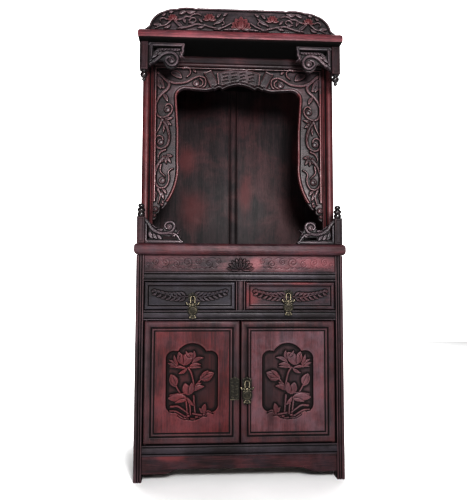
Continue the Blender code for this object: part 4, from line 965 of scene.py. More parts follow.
@dataclass(frozen=True)
class PlainBoard:
    """Unpolished softwood inside the cabinet, darkened with age."""

    name: str
    slot: str = "inner_boards"
    grain: Grain = Grain.X

    def material(self) -> bpy.types.Material:
        """Build the shader.

        Returns:
            The material.
        """
        shader = Shader(f"{self.name}_{self.grain.name.lower()}")
        rings = shader.fibres(self.grain, 30, 4.0, 0.5, 1.2)
        fibre = shader.fibres(self.grain, 520, 3.0, 0.6)
        stain = shader.cloud(6.0, 4.0)
        colour = shader.mix(rings.step(0.38, 0.62), (0.105, 0.06, 0.034), (0.19, 0.118, 0.07))
        colour = shader.mix(fibre.step(0.35, 0.6) * 0.4, (0.08, 0.046, 0.028), colour)
        colour = shader.mix(stain.step(0.5, 0.75) * 0.5, colour, (0.07, 0.045, 0.034))
        shader.cover(colour, 0.62 + 0.2 * fibre)
        shader.bump(fibre, 0.4, 0.0006)
        return shader.material


Finish = Union[Wood, Turning, Brass, PlainBoard]

ROSEWOOD = Wood("rosewood", "dark_rosewood", (0.034, 0.018, 0.02), (0.009, 0.006, 0.007),
                (0.08, 0.044, 0.048))
NICHE_WOOD = replace(
    ROSEWOOD, name="niche_rosewood", heart=(0.04, 0.023, 0.026), worn=(0.105, 0.026, 0.028), dust_and_sheen_share=0.12,
    gloss=0.5, painted_underside_shade=True, patches=((-0.165, 0.925, 0.15, 0.19), (-0.19, 1.12, 0.08, 0.13),
                                    (0.05, 0.98, 0.07, 0.19), (0.26, 1.16, 0.05, 0.14)))
RED = Wood("red_rosewood", "worn_red_rosewood", (0.078, 0.027, 0.03), (0.022, 0.009, 0.01),
           (0.15, 0.05, 0.054))
POST_RED = replace(RED, name="post_red", heart=(0.105, 0.024, 0.026), worn=(0.17, 0.05, 0.052),
                   dust_and_sheen_share=0.25)
SILL_RED = replace(RED, name="sill_red", heart=(0.082, 0.032, 0.037), grain=Grain.X, dust_and_sheen_share=0.5,
                   dust_and_sheen=(0.062, 0.052, 0.064))
# The canopy's front is a lighter red than the sill: partly its own colour, partly painted light for the
# strong light at the top of the cabinet.
CANOPY_LIT_RED = replace(SILL_RED, name="canopy_lit_red", heart=(0.23, 0.07, 0.082), worn=(0.29, 0.1, 0.115),
                     dark=(0.07, 0.026, 0.03), dust_and_sheen_share=0.3, painted_underside_shade=True)
LEG_DARK = replace(RED, name="leg_dark", heart=(0.044, 0.022, 0.025), dark=(0.014, 0.008, 0.009),
                   worn=(0.11, 0.045, 0.048))
RAIL_DARK = replace(LEG_DARK, name="rail_dark", grain=Grain.X, heart=(0.017, 0.012, 0.014),
                    dark=(0.006, 0.004, 0.005), worn=(0.08, 0.062, 0.072))
FRAME_RED = replace(LEG_DARK, name="frame_red", heart=(0.05, 0.02, 0.022), worn=(0.12, 0.04, 0.042))
APRON_RED = replace(FRAME_RED, name="apron_red", heart=(0.072, 0.027, 0.03), worn=(0.135, 0.04, 0.043),
                    grain=Grain.X, patches=((-0.22, 0.075, 0.1, 0.03), (0.05, 0.085, 0.14, 0.02)))
CARVED = Wood("carved_rosewood", "carved_rosewood", (0.038, 0.021, 0.024), (0.012, 0.008, 0.009),
              (0.125, 0.08, 0.086), wear=0.9, grain=Grain.X, gloss=0.31, shine=0.38)
ARCH_WOOD = replace(CARVED, name="arch_rosewood", heart=(0.034, 0.016, 0.018), ridge_wear_and_highlight=(0.19, 0.098, 0.102))
CREST_WOOD = replace(CARVED, name="crest_rosewood", heart=(0.042, 0.026, 0.03), ridge_wear_and_highlight=(0.17, 0.115, 0.125))
BRACKET_WOOD = replace(CARVED, name="bracket_rosewood", heart=(0.014, 0.01, 0.013),
                       dark=(0.006, 0.005, 0.006), ridge_wear_and_highlight=(0.105, 0.092, 0.106), dust_and_sheen_share=0.22)
DOOR_RED = Wood("door_red", "carved_rosewood", (0.098, 0.02, 0.022), (0.032, 0.009, 0.01),
                (0.15, 0.042, 0.045), dust_and_sheen_share=0.28, wear=0.7, ridge_wear_and_highlight=(0.15, 0.07, 0.074))
DOOR_PINK = Wood("door_pink", "carved_rosewood", (0.108, 0.04, 0.045), (0.044, 0.019, 0.022),
                 (0.165, 0.075, 0.082), dust_and_sheen=(0.085, 0.072, 0.086), dust_and_sheen_share=0.5, wear=0.7)
DRAWER_GREY = Wood("drawer_grey", "carved_rosewood", (0.024, 0.018, 0.021), (0.009, 0.007, 0.009),
                   (0.075, 0.066, 0.076), dust_and_sheen_share=0.5, wear=0.6, grain=Grain.X)
DRAWER_RED = replace(DRAWER_GREY, name="drawer_red", heart=(0.034, 0.022, 0.025), worn=(0.12, 0.03, 0.032),
                     patches=((0.03, 0.575, 0.07, 0.07), (0.2, 0.62, 0.1, 0.012)))
FRIEZE = Wood("frieze", "carved_rosewood", (0.046, 0.021, 0.025), (0.016, 0.009, 0.01),
              (0.15, 0.056, 0.063), dust_and_sheen_share=0.3, wear=0.7, grain=Grain.X,
              patches=((0.26, 0.685, 0.16, 0.05), (0.05, 0.685, 0.05, 0.05)))


def placed(name: str, data: bpy.types.ID) -> bpy.types.Object:
    """Put a new object with its data into the scene and return it."""
    thing = bpy.data.objects.new(name, data)
    bpy.context.scene.collection.objects.link(thing)
    return thing


class Workshop:
    """Turns meshes into finished pieces that ride on the cabinet's bodies."""

    def __init__(self) -> None:
        """Start with no materials made."""
        self.materials: dict[Finish, bpy.types.Material] = {}

    def finish(self, finish: Finish) -> bpy.types.Material:
        """Return the finish's material, made once."""
        if finish not in self.materials:
            self.materials[finish] = finish.material()
        return self.materials[finish]

    def dress(self, node: str, finish: Finish) -> None:
        """Give a solid of the frame its finish.

        Args:
            node: name of the solid.
            finish: its finish.
        """
        piece = frame["nodes"][node]
        piece.data.materials.clear()
        piece.data.materials.append(self.finish(finish))
        LOG.info("%s keeps its solid, in %s", node, finish.name)

    def piece(self, name: str, bm: BMesh, body: str, finish: Finish, node: str, sharp: float = 38.0) -> None:
        """Make a piece of a mesh.

        Args:
            name: its name.
            bm: its mesh in metres, used up by this call.
            body: the body that it rides on.
            finish: its finish.
            node: solid that it stands for.
            sharp: degrees between two faces over which their edge stays sharp.
        """
        mesh = bpy.data.meshes.new(name)
        bm.to_mesh(mesh)
        bm.free()
        mesh.shade_smooth()
        mesh.set_sharp_from_angle(angle=math.radians(sharp))
        mesh.materials.append(self.finish(finish))
        piece = placed(name, mesh)
        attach(piece, body)
        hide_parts(node)
        LOG.info("%s: %d faces on %s", name, len(mesh.polygons), body)


def joined(target: BMesh, source: BMesh) -> BMesh:
    """Add one mesh to another.

    Args:
        target: mesh that takes the other in.
        source: mesh that is added and freed.

    Returns:
        The first mesh.
    """
    carrier = bpy.data.meshes.new("carrier")
    source.to_mesh(carrier)
    source.free()
    target.from_mesh(carrier)
    bpy.data.meshes.remove(carrier)
    return target


def swept(section: Section, axis: str, low: float, high: float) -> BMesh:
    """Run a moulding's section along an axis.

    Args:
        section: closed line of (across, y, shade) points, across being z for a level moulding and x for an
            upright one, and shade the point's rubbed edge with a painted highlight, or the painted shade of
            its groove.
        axis: X or Z.
        low: where the moulding starts.
        high: where it ends.

    Returns:
        The mesh in metres.
    """
    bm = bmesh.new()
    layer = bm.verts.layers.float.new("relief")
    corners = []
    for across, y, shade in section:
        vertex = bm.verts.new((low, y, across) if axis == "X" else (across, y, low))
        vertex[layer] = shade
        corners.append(vertex)
    start = bm.faces.new(corners)
    end = bmesh.ops.duplicate(bm, geom=[start])["geom"]
    end_verts = [item for item in end if isinstance(item, bmesh.types.BMVert)]
    run = high - low
    bmesh.ops.translate(bm, vec=(run, 0, 0) if axis == "X" else (0, 0, run), verts=end_verts)
    bmesh.ops.bridge_loops(bm, edges=list(bm.edges))
    return in_metres(bm)


def turned(profile: Line, place: Place) -> BMesh:
    """Turn a profile about an upright axis.

    Args:
        profile: radius and height of each point.
        place: place on the axis that the heights are measured from.

    Returns:
        The mesh in metres.
    """
    bm = bmesh.new()
    layer = bm.verts.layers.float.new("relief")
    corners = [bm.verts.new((radius, 0, height)) for radius, height in profile]
    edges = [bm.edges.new(pair) for pair in zip(corners, corners[1:])]
    bmesh.ops.spin(bm, geom=corners + edges, cent=(0, 0, 0), axis=(0, 0, 1), angle=2 * math.pi,
                   steps=TURNED_STEPS, use_merge=True)
    bmesh.ops.remove_doubles(bm, verts=bm.verts, dist=WELD)
    widest = max(radius for radius, _ in profile)
    for vertex in bm.verts:
        vertex[layer] = math.hypot(vertex.co.x, vertex.co.y) / widest * 2 - 1.2
    bmesh.ops.translate(bm, vec=place, verts=bm.verts)
    return in_metres(bm)


@dataclass(frozen=True)
class Stem:
    """A scrolling stem: the points of its middle, half its width, and the share of that left at its tip."""

    points: tuple[Point, ...]
    radius: float = 4.6
    tip: float = 0.5


@dataclass(frozen=True)
class Blade:
    """A leaf or petal from its root to its tip."""

    root: Point
    tip: Point
    width: float
    bend: float = 0.0
    blunt: float = 0.0
    rise: float = 4.4


def stems(*rows: tuple[float, ...]) -> tuple[Stem, ...]:
    """Read stems, each from a row of its radius, the share left at its tip, and its points' x and z."""
    return tuple(Stem(tuple(zip(row[2::2], row[3::2])), *row[:2]) for row in rows)


def blades(*rows: tuple[float, ...]) -> tuple[Blade, ...]:
    """Read leaves, each from a row of its root's x and z, its tip's x and z, and its other measures."""
    return tuple(Blade(row[:2], row[2:4], *row[4:]) for row in rows)


@dataclass
class ArchCarving:
    """The carved arch in the niche's mouth: scrolling stems, leaves, and a banner of plain strokes."""

    side_length: float = 543.0
    thickness: float = 14.0
    cell: float = 1.25
    ground: float = -3.0
    columns: tuple[float, ...] = (-46.0, -16.0, 14.0, 44.0)
    border_foot: float = 900.0
    border_width: float = 7.4
    blush_top: float = 1290.0
    tail: Point = (95.5, 1332.0)
    tail_half: Point = (14.5, 32.0)
    tail_lean: float = 25.0
    stems: tuple[Stem, ...] = stems(
        (5.2, 0.45, 282, 1353, 258, 1332, 235, 1321, 216, 1318, 185, 1322, 158, 1337, 139, 1344, 119, 1338,
         115, 1322, 121, 1308, 135, 1301),
        (3.2, 0.6, 135, 1335, 126, 1326, 129, 1312, 146, 1305),
        (4.2, 0.5, 194, 1372, 181, 1375, 170, 1366, 171, 1352, 182, 1341),
        (5.6, 0.45, 278, 1349, 258, 1332, 244, 1316, 247, 1299, 264, 1282, 280, 1262, 289, 1238, 288, 1216,
         281, 1201, 267, 1194, 248, 1200, 235, 1213, 231, 1229, 238, 1241, 249, 1242, 255, 1234),
        (5.4, 0.45, 266, 1188, 253, 1170, 244, 1147, 241, 1122, 247, 1098, 265, 1085, 282, 1090, 290, 1108,
         286, 1124, 274, 1130, 264, 1124, 262, 1115),
        (4.4, 0.3, 266, 1186, 275, 1160, 286, 1138),
        (4.2, 0.35, 254, 1081, 269, 1073, 278, 1057, 276, 1047),
        (5.2, 0.4, 259, 1053, 273, 1036, 285, 1012, 289, 985, 285, 962, 272, 948, 254, 950, 243, 966, 240,
         985, 243, 1000, 236, 1011, 227, 1015),
        (3.4, 0.5, 268, 1028, 270, 1005, 253, 987),
        (4.6, 0.4, 277, 943, 269, 922, 276, 893))
    leaves: tuple[Blade, ...] = blades(
        (236, 1358, 198, 1338, 24, 0.1, 0.6), (160, 1368, 148, 1357, 9),
        (284, 1345, 262, 1296, 25, -0.1, 0.5), (290, 1322, 270, 1296, 14, 0.1, 0.2),
        (262, 1279, 247, 1250, 13, 0.08), (258, 1190, 227, 1194, 11, -0.08),
        (256, 1186, 232, 1166, 11, -0.06), (254, 1184, 243, 1160, 10), (258, 1172, 261, 1139, 8),
        (249, 1064, 227, 1058, 11, -0.08), (249, 1060, 234, 1034, 11, -0.06),
        (254, 1062, 250, 1030, 10, -0.04), (262, 1062, 262, 1036, 9), (262, 944, 248, 926, 10, 0.1),
        (266, 936, 256, 906, 10, -0.05), (288, 940, 286, 908, 9, 0.1), (262, 905, 258, 892, 7))
    eyes: tuple[Place, ...] = (
        (149, 1320, 11.5), (249, 1224, 11.5), (271, 1109, 11.5), (264, 974, 11.5))
    balls: tuple[Place, ...] = ((264, 889, 5.5), (286, 873, 9.0), (289, 852, 6.0))

    def edge(self) -> Line:
        """Draw the free edge of the right half.

        Returns:
            Its points from the tail on the post to the middle.
        """
        tail = -self.side_length
        side = arcs([
            (0.3, tail, 0.5), (12, tail + 22, 0.55), (21, tail + 42, 0.5), (24, tail + 52, -0.6),
            (29, tail + 42, 0.5), (35, tail + 42, 0.2), (86, tail + 205, 0.03), (78, -112, -0.41),
            (106, -79, 0),
        ], (NICHE_INNER, RAIL_UNDERSIDE), -1, 6)
        middle = arcs([
            (124, -84, -0.1), (100, -81, -0.3), (90, -77, 0), (84, -81, 0), (74, -75, 0.3),
            (64, -74, -0.5), (52, -77, 0.12), (0, -61, 0),
        ], (0.0, RAIL_UNDERSIDE), 1, 6)
        return side + middle

    def outline(self) -> Line:
        """Draw the board's outline.

        Returns:
            Its points, closed.
        """
        right = self.edge()
        top = RAIL_UNDERSIDE - GAP
        corner = NICHE_INNER - GAP
        left = [(-x, z) for x, z in right[:-1]]
        return right[::-1] + [(corner, top), (-corner, top)] + left

    def border(self, relief: Relief, distance: np.ndarray) -> None:
        """Raise the rounded red border along the free edge, with a groove inside it.

        Args:
            relief: field to carve.
            distance: how far each point is from the outline.
        """
        z = relief.z[:, None] + 0 * relief.x[None, :]
        here = (z < RAIL_UNDERSIDE - 5) & (z > self.border_foot)
        bead = 1.2 + 2.6 * np.sqrt(np.clip(1 - ((distance - 3.6) / 4.6) ** 2, 0, 1))
        band = (distance < self.border_width) & here
        relief.height = np.where(band, bead, relief.height)
        groove = 2.0 * np.exp(-((distance - 9.2) / 1.4) ** 2) * here * (distance >= self.border_width)
        relief.height = relief.height - groove
        relief.blush = np.where(band & (z < self.blush_top), 1.0, relief.blush)

    def banner(self, relief: Relief) -> None:
        """Carve the bowed banner with folded tails and rows of plain strokes.

        Args:
            relief: field to carve.
        """
        grid_x = relief.x[None, :]
        grid_z = relief.z[:, None]
        lean_sin = math.sin(math.radians(self.tail_lean))
        lean_cos = math.cos(math.radians(self.tail_lean))
        half_across, half_along = self.tail_half
        for side in (-1, 1):
            dx = side * grid_x - self.tail[0]
            dz = grid_z - self.tail[1]
            across = (dx * lean_cos - dz * lean_sin) / half_across
            ratio = np.maximum(np.abs(across), np.abs(dx * lean_sin + dz * lean_cos) / half_along)
            top = 4.4 + 1.2 * across ** 2 - 1.3 * (np.abs(ratio - 0.86) < 0.05)
            relief.lay(EVERYWHERE, ratio, top, half_across, 2.4, True)
        low = 1317 - 13 * (np.abs(grid_x) / 70) ** 2
        lift = (grid_z - low) / 54.0
        ratio = np.maximum(np.abs(grid_x) / (71 + 6 * lift), np.abs(2 * lift - 1))
        top = 5.6 + 1.5 * (np.abs(grid_x) / 74) ** 4 + 0 * grid_z - 1.5 * (np.abs(ratio - 0.9) < 0.035)
        relief.lay(EVERYWHERE, ratio, top, 27.0, 2.8, True)
        for column in self.columns:
            self.writing(relief, column)

    @staticmethod
    def writing(relief: Relief, column: float) -> None:
        """Carve one group of shallow strokes, which stand for writing and are no letters.

        Args:
            relief: field to carve.
            column: x of the group.
        """
        drop = 13 * (column / 70) ** 2
        for row, width in enumerate((17.0, 12.0, 18.0)):
            z = 1357 - drop - row * 12
            line = [(column - width / 2, z - 2.0), (column, z + 0.8), (column + width / 2, z + 1.6)]
            relief.stroke(flow(line), 2.9, 0.7, -2.8, 5.6, moat=0.0, over=True)

    def mesh(self) -> BMesh:
        """Carve the arch.

        Returns:
            The finished mesh.
        """
        half = NICHE_INNER - GAP
        low = RAIL_UNDERSIDE - self.side_length - 2
        relief = Relief((-half, low), (half, RAIL_UNDERSIDE - GAP), self.cell, self.ground)
        for leaf in self.leaves:
            relief.blade(leaf, base=-0.6, cup=0.12, moat=2.2)
        for stem in self.stems:
            relief.stem(stem, rise=5.6, base=-0.8, groove=1.0, moat=2.4)
        for x, z, radius in self.eyes:
            relief.disc(x, z, radius, 4.4, -1.6, crescent=2.2, moat=1.2)
        for x, z, radius in self.balls:
            relief.disc(x, z, radius, 4.6, -0.6, crescent=1.2)
        relief.mirror()
        self.banner(relief)
        return Board(relief, [self.outline()], ARCH_PLANE, self.thickness, 1.4, self.border).mesh()


@dataclass
class CrestCarving:
    """The crest on the canopy: a lotus between flowers on a waving stem, inside a plain rim."""

    half: float = 330.0
    height: float = 82.0
    thickness: float = 16.0
    cell: float = 1.2
    ground: float = -3.2
    stems: tuple[Stem, ...] = stems(
        (3.6, 0.7, 219, 1485, 202, 1468, 186, 1464, 166, 1470, 149, 1476, 130, 1474, 116, 1472, 103, 1468,
         77, 1464, 57, 1469, 40, 1478, 33, 1483),
        (3.2, 0.6, 206, 1490, 192, 1495, 183, 1501, 169, 1501, 160, 1509, 143, 1511, 133, 1506),
        (3, 0.6, 172, 1488, 164, 1497, 153, 1496, 150, 1487, 158, 1482),
        (3, 0.6, 90, 1476, 76, 1488, 62, 1490, 56, 1481, 64, 1475),
        (3.2, 0.4, 234, 1484, 250, 1470, 268, 1466, 284, 1458),
        (2.8, 0.5, 246, 1489, 258, 1494, 268, 1488, 264, 1479))
    leaves: tuple[Blade, ...] = blades(
        (217, 1483, 193, 1467, 9), (194, 1497, 184, 1477, 10, 0.1), (206, 1509, 182, 1519, 12, 0.1, 0.3),
        (184, 1517, 150, 1518, 12, -0.1, 0.4), (90, 1478, 52, 1501, 11, -0.08),
        (62, 1466, 92, 1458, 9, 0.08), (120, 1472, 146, 1462, 9, 0.08), (150, 1476, 176, 1482, 9, -0.1),
        (186, 1464, 214, 1458, 9, 0.06), (232, 1470, 256, 1458, 9, 0.08), (262, 1470, 292, 1470, 10, -0.08),
        (128, 1482, 142, 1496, 8), (82, 1500, 66, 1515, 9, 0.1), (60, 1506, 44, 1517, 9, 0.1),
        (240, 1512, 222, 1519, 9), (262, 1500, 247, 1510, 8), (30, 1460, 62, 1458, 8),
        (300, 1462, 310, 1454, 7))

    def outline(self) -> Line:
        """Draw the board's outline, no higher than the solid.

        Returns:
            Its points, closed.
        """
        half = self.half
        height = self.height
        right = arcs([
            (half, 0.3, -0.1), (half * 0.918, height * 0.2, 0.28), (half * 0.773, height * 0.82, 0.16),
            (half * 0.652, height * 0.93, 0.12), (half * 0.485, height, 0.0),
            (half * 0.455, height * 0.97, 0.0), (half * 0.43, height * 0.995, 0.0), (0, height * 0.995, 0.0),
        ], (0.0, CANOPY_TOP), 1, 6)
        top = CAD_BOX[1][2] / MM
        right = [(x, min(z, top)) for x, z in right]
        return right + [(-x, z) for x, z in reversed(right[:-1])]

    def rim(self, relief: Relief, distance: np.ndarray) -> None:
        """Leave a raised rim along the upper edge, and a line inside it.

        Args:
            relief: field to carve.
            distance: how far each point is from the outline.
        """
        high = relief.z[:, None] + 0 * relief.x[None, :] >= CANOPY_TOP + 7
        relief.height = np.where((distance < 5.0) & high, 1.4 - 0.5 * (distance / 5) ** 2, relief.height)
        line = (distance >= 5.0) & (distance < 8.0) & high
        relief.height = np.where(line, self.ground - 0.8, relief.height)

    @staticmethod
    def flower(relief: Relief, x: float, z: float, size: float) -> None:
        """Carve a flower of broad petals that is seen from its side.

        Args:
            relief: field to carve.
            x: its middle.
            z: its foot.
            size: its width, about.
        """
        petals = both_ways((84, 0.5, 0.4, 3.4), (50, 0.5, 0.5, 4.2), (22, 0.52, 0.52, 4.8),
                           (0, 0.42, 0.66, 5.6))
        for lean, out, width, rise in petals:
            angle = math.radians(lean)
            relief.leaf(x + math.sin(angle) * size * out, z + math.cos(angle) * size * out, size * width,
                        size * 0.95, rise, lean, -0.8, rib=0.5, cup=0.22, blunt=0.35, over=True, moat=1.2)

    def mesh(self) -> BMesh:
        """Carve the crest.

        Returns:
            The finished mesh.
        """
        top = CANOPY_TOP + self.height + 1
        relief = Relief((-self.half, CANOPY_TOP), (self.half, top), self.cell, self.ground)
        for leaf in self.leaves:
            relief.blade(leaf, base=-1.0, moat=2.0)
        for stem in self.stems:
            relief.stem(stem, rise=4.6, base=-1.2, groove=0.8, moat=2.0)
        relief.pigment = 1.0
        for flower in ((105, 1491, 24), (226, 1488, 21)):
            self.flower(relief, *flower)
        relief.mirror()
        petals = both_ways((80, 17, 34, 4.0), (56, 22, 36, 4.6), (28, 24, 40, 5.2), (0, 24, 43, 5.0),
                           (34, 21, 28, 6.2), (0, 26, 30, 6.8))
        for lean, width, length, rise in petals:
            angle = math.radians(lean)
            relief.leaf(math.sin(angle) * length * 0.52, 1464 + math.cos(angle) * length * 0.5, width, length,
                        rise, lean, -0.8, rib=0.5, cup=0.28, blunt=0.6, over=True, moat=1.6)
        relief.pigment = 0.0
        for side in (-1, 1):
            leaf = Blade((side * 6, 1459), (side * 46, 1462), 9, side * 0.06, 0, 5.0)
            relief.blade(leaf, base=-0.8, over=True)
        return Board(relief, [self.outline()], CREST_PLANE, self.thickness, 1.4, self.rim).mesh()


@dataclass
class BracketCarving:
    """A cut-out bracket in a corner of the front plane: a bold scroll, leaves and a framing bar."""

    side: int
    upper: bool
    thickness: float = 14.0
    cell: float = 0.9
    ground: float = -3.0

    # How a framing bar and a scroll's band are raised
    BAR = {"rise": 2.6, "base": 0.0, "crown": 4, "moat": 1.6}
    BAND = {"rise": 5.8, "base": -1.0, "groove": 0.9, "moat": 2.4}

    def anchor(self) -> Point:
        """Return the corner that the bracket fills."""
        return (self.side * 306.0, CEILING) if self.upper else (self.side * 309.0, SILL_TOP)

    def loops(self) -> list[Line]:
        """Draw the outline and the holes.

        Returns:
            The closed lines, on the cabinet.
        """
        if self.upper:
            outer = [(0.3, -0.3, 0), (120, -0.3, 0), (119, -30, 0.1), (113, -41, 0), (122, -53, 0.2),
                     (103, -50, 0.1), (99, -66, -0.8), (53, -72, 0.25), (44, -60, 0.2), (26, -68, 0.15),
                     (4, -82, 0), (0.3, -82, 0), (0.3, -0.3, 0)]
            holes = [[(16, -14, 0), (108, -13, 0), (106, -17, 0), (30, -18.5, 0), (18, -30, 0), (16, -14, 0)]]
        else:
            outer = [(0.3, 0.3, 0), (124, 0.3, 0), (124, 5, 0.1), (117, 16, 0.1), (108, 36, 0.1),
                     (118, 47, 0.1), (101, 43, 0.1), (98, 62, 0.5), (84, 75, 0.3), (60, 68, -0.5),
                     (52, 48, -0.2), (30, 58, -0.1), (6, 80, 0), (0.3, 80, 0), (0.3, 0.3, 0)]
            holes = [[(8, 16, 0), (14, 16, 0), (10, 34, 0), (14, 52, 0), (8, 60, 0), (8, 16, 0)],
                     [(58, 23, 0), (84, 22, 0), (98, 22, 0.2), (103, 14, 0), (58, 15, 0), (58, 23, 0)]]
        return [arcs(corners, self.anchor(), -self.side, 6)[:-1] for corners in [outer] + holes]

    def at(self, points: Line) -> Line:
        """Place points that are measured inwards from the corner."""
        x, z = self.anchor()
        return [(x - self.side * dx, z + dz) for dx, dz in points]

    def carve_leaves(self, relief: Relief, *rows: tuple[float, ...]) -> None:
        """Carve leaves that are measured inwards from the corner.

        Args:
            relief: field to carve.
            rows: x and z of each leaf's root, x and z of its tip, its width and perhaps its bend.
        """
        for row in rows:
            start, end = self.at([row[:2], row[2:4]])
            bend = sum(row[5:])
            relief.blade(Blade(start, end, row[4], -self.side * bend, 0.0, 5.0), base=-0.8, moat=2.0)

    def carve_disc(self, relief: Relief, place: Point, *shape: float, **more: float) -> None:
        """Carve a disc at a place that is measured inwards from the corner."""
        relief.disc(*self.at([place])[0], *shape, **more)

    def carve_upper(self, relief: Relief) -> None:
        """Carve the scroll, leaves and bars of an upper bracket.

        Args:
            relief: field to carve.
        """
        for line, radius, tip in ((((0, -7), (118, -7)), 5.4, 1.0), (((9, -12), (9, -70)), 5.0, 0.8),
                                  (((115, -10), (113, -20), (114, -30), (108, -42)), 4.0, 0.8)):
            relief.stroke(self.at(line), radius, tip, **self.BAR)
        relief.stroke(self.at([(38, -25), (102, -24)]), 4.2, 0.9, 2.0, -1.0, crown=4, moat=1.4)
        self.carve_leaves(relief, *((44 + 11 * step, -28, 50 + 11 * step, -21, 5.0) for step in range(6)))
        self.carve_leaves(relief, (36, -26, 20, -48, 12, 0.08), (30, -34, 12, -58, 11, -0.08),
                          (46, -34, 26, -44, 10, -0.1))
        scroll = flow([(8, -74), (22, -63), (35, -52), (47, -41), (63, -34.5), (80, -35), (92, -44),
                       (97, -57), (93, -70), (84, -77), (73, -77), (64, -71), (58, -62), (62, -52),
                       (72, -50)])
        relief.stroke(self.at(scroll), 5.8, 0.5, **self.BAND)
        self.carve_disc(relief, (77, -60), 10.5, 4.6, -1.4, crescent=2.4, moat=1.2)
        self.carve_leaves(relief, (101, -44, 122, -53, 9, 0.1), (106, -30, 112, -46, 8))
        self.carve_disc(relief, (18, -66), 5.0, 4.4, -0.8)

    def carve_lower(self, relief: Relief) -> None:
        """Carve the scroll, leaves and bars of a lower bracket.

        Args:
            relief: field to carve.
        """
        relief.stroke(self.at([(0, 6), (122, 6)]), 5.0, 0.8, **self.BAR)
        relief.stroke(self.at([(3.5, 10), (3.5, 74)]), 3.8, 0.9, **self.BAR)
        self.carve_leaves(relief, (14, 38, 26, 14, 14, 0.1), (26, 32, 40, 13, 12, 0.06),
                          (40, 28, 56, 12, 11, 0.04), (44, 50, 22, 60, 10, 0.08), (60, 44, 38, 44, 9, -0.08))
        twig = flow([(82, 33), (98, 30), (108, 20), (114, 10), (122, 6)])
        relief.stroke(self.at(twig), 4.8, 0.4, **self.BAND)
        self.carve_leaves(relief, (104, 30, 118, 47, 10, 0.1), (98, 28, 84, 16, 9))
        scroll = flow([(2, 76), (13, 63), (20, 51), (32, 41), (49, 34), (69, 33), (85, 39), (94, 51),
                       (95, 61), (88, 69), (77, 70), (68, 65), (64, 56), (70, 48)])
        relief.stroke(self.at(scroll), 6.2, 0.45, **self.BAND)
        self.carve_disc(relief, (79, 54), 9.5, 4.6, -1.4, crescent=2.2, moat=1.2)

    def mesh(self) -> BMesh:
        """Carve the bracket.

        Returns:
            The finished mesh.
        """
        loops = self.loops()
        xs = [x for x, _ in loops[0]]
        zs = [z for _, z in loops[0]]
        relief = Relief((min(xs), min(zs)), (max(xs), max(zs)), self.cell, self.ground)
        if self.upper:
            self.carve_upper(relief)
        else:
            self.carve_lower(relief)
        return Board(relief, loops, BRACKET_PLANE, self.thickness, 1.8).mesh()


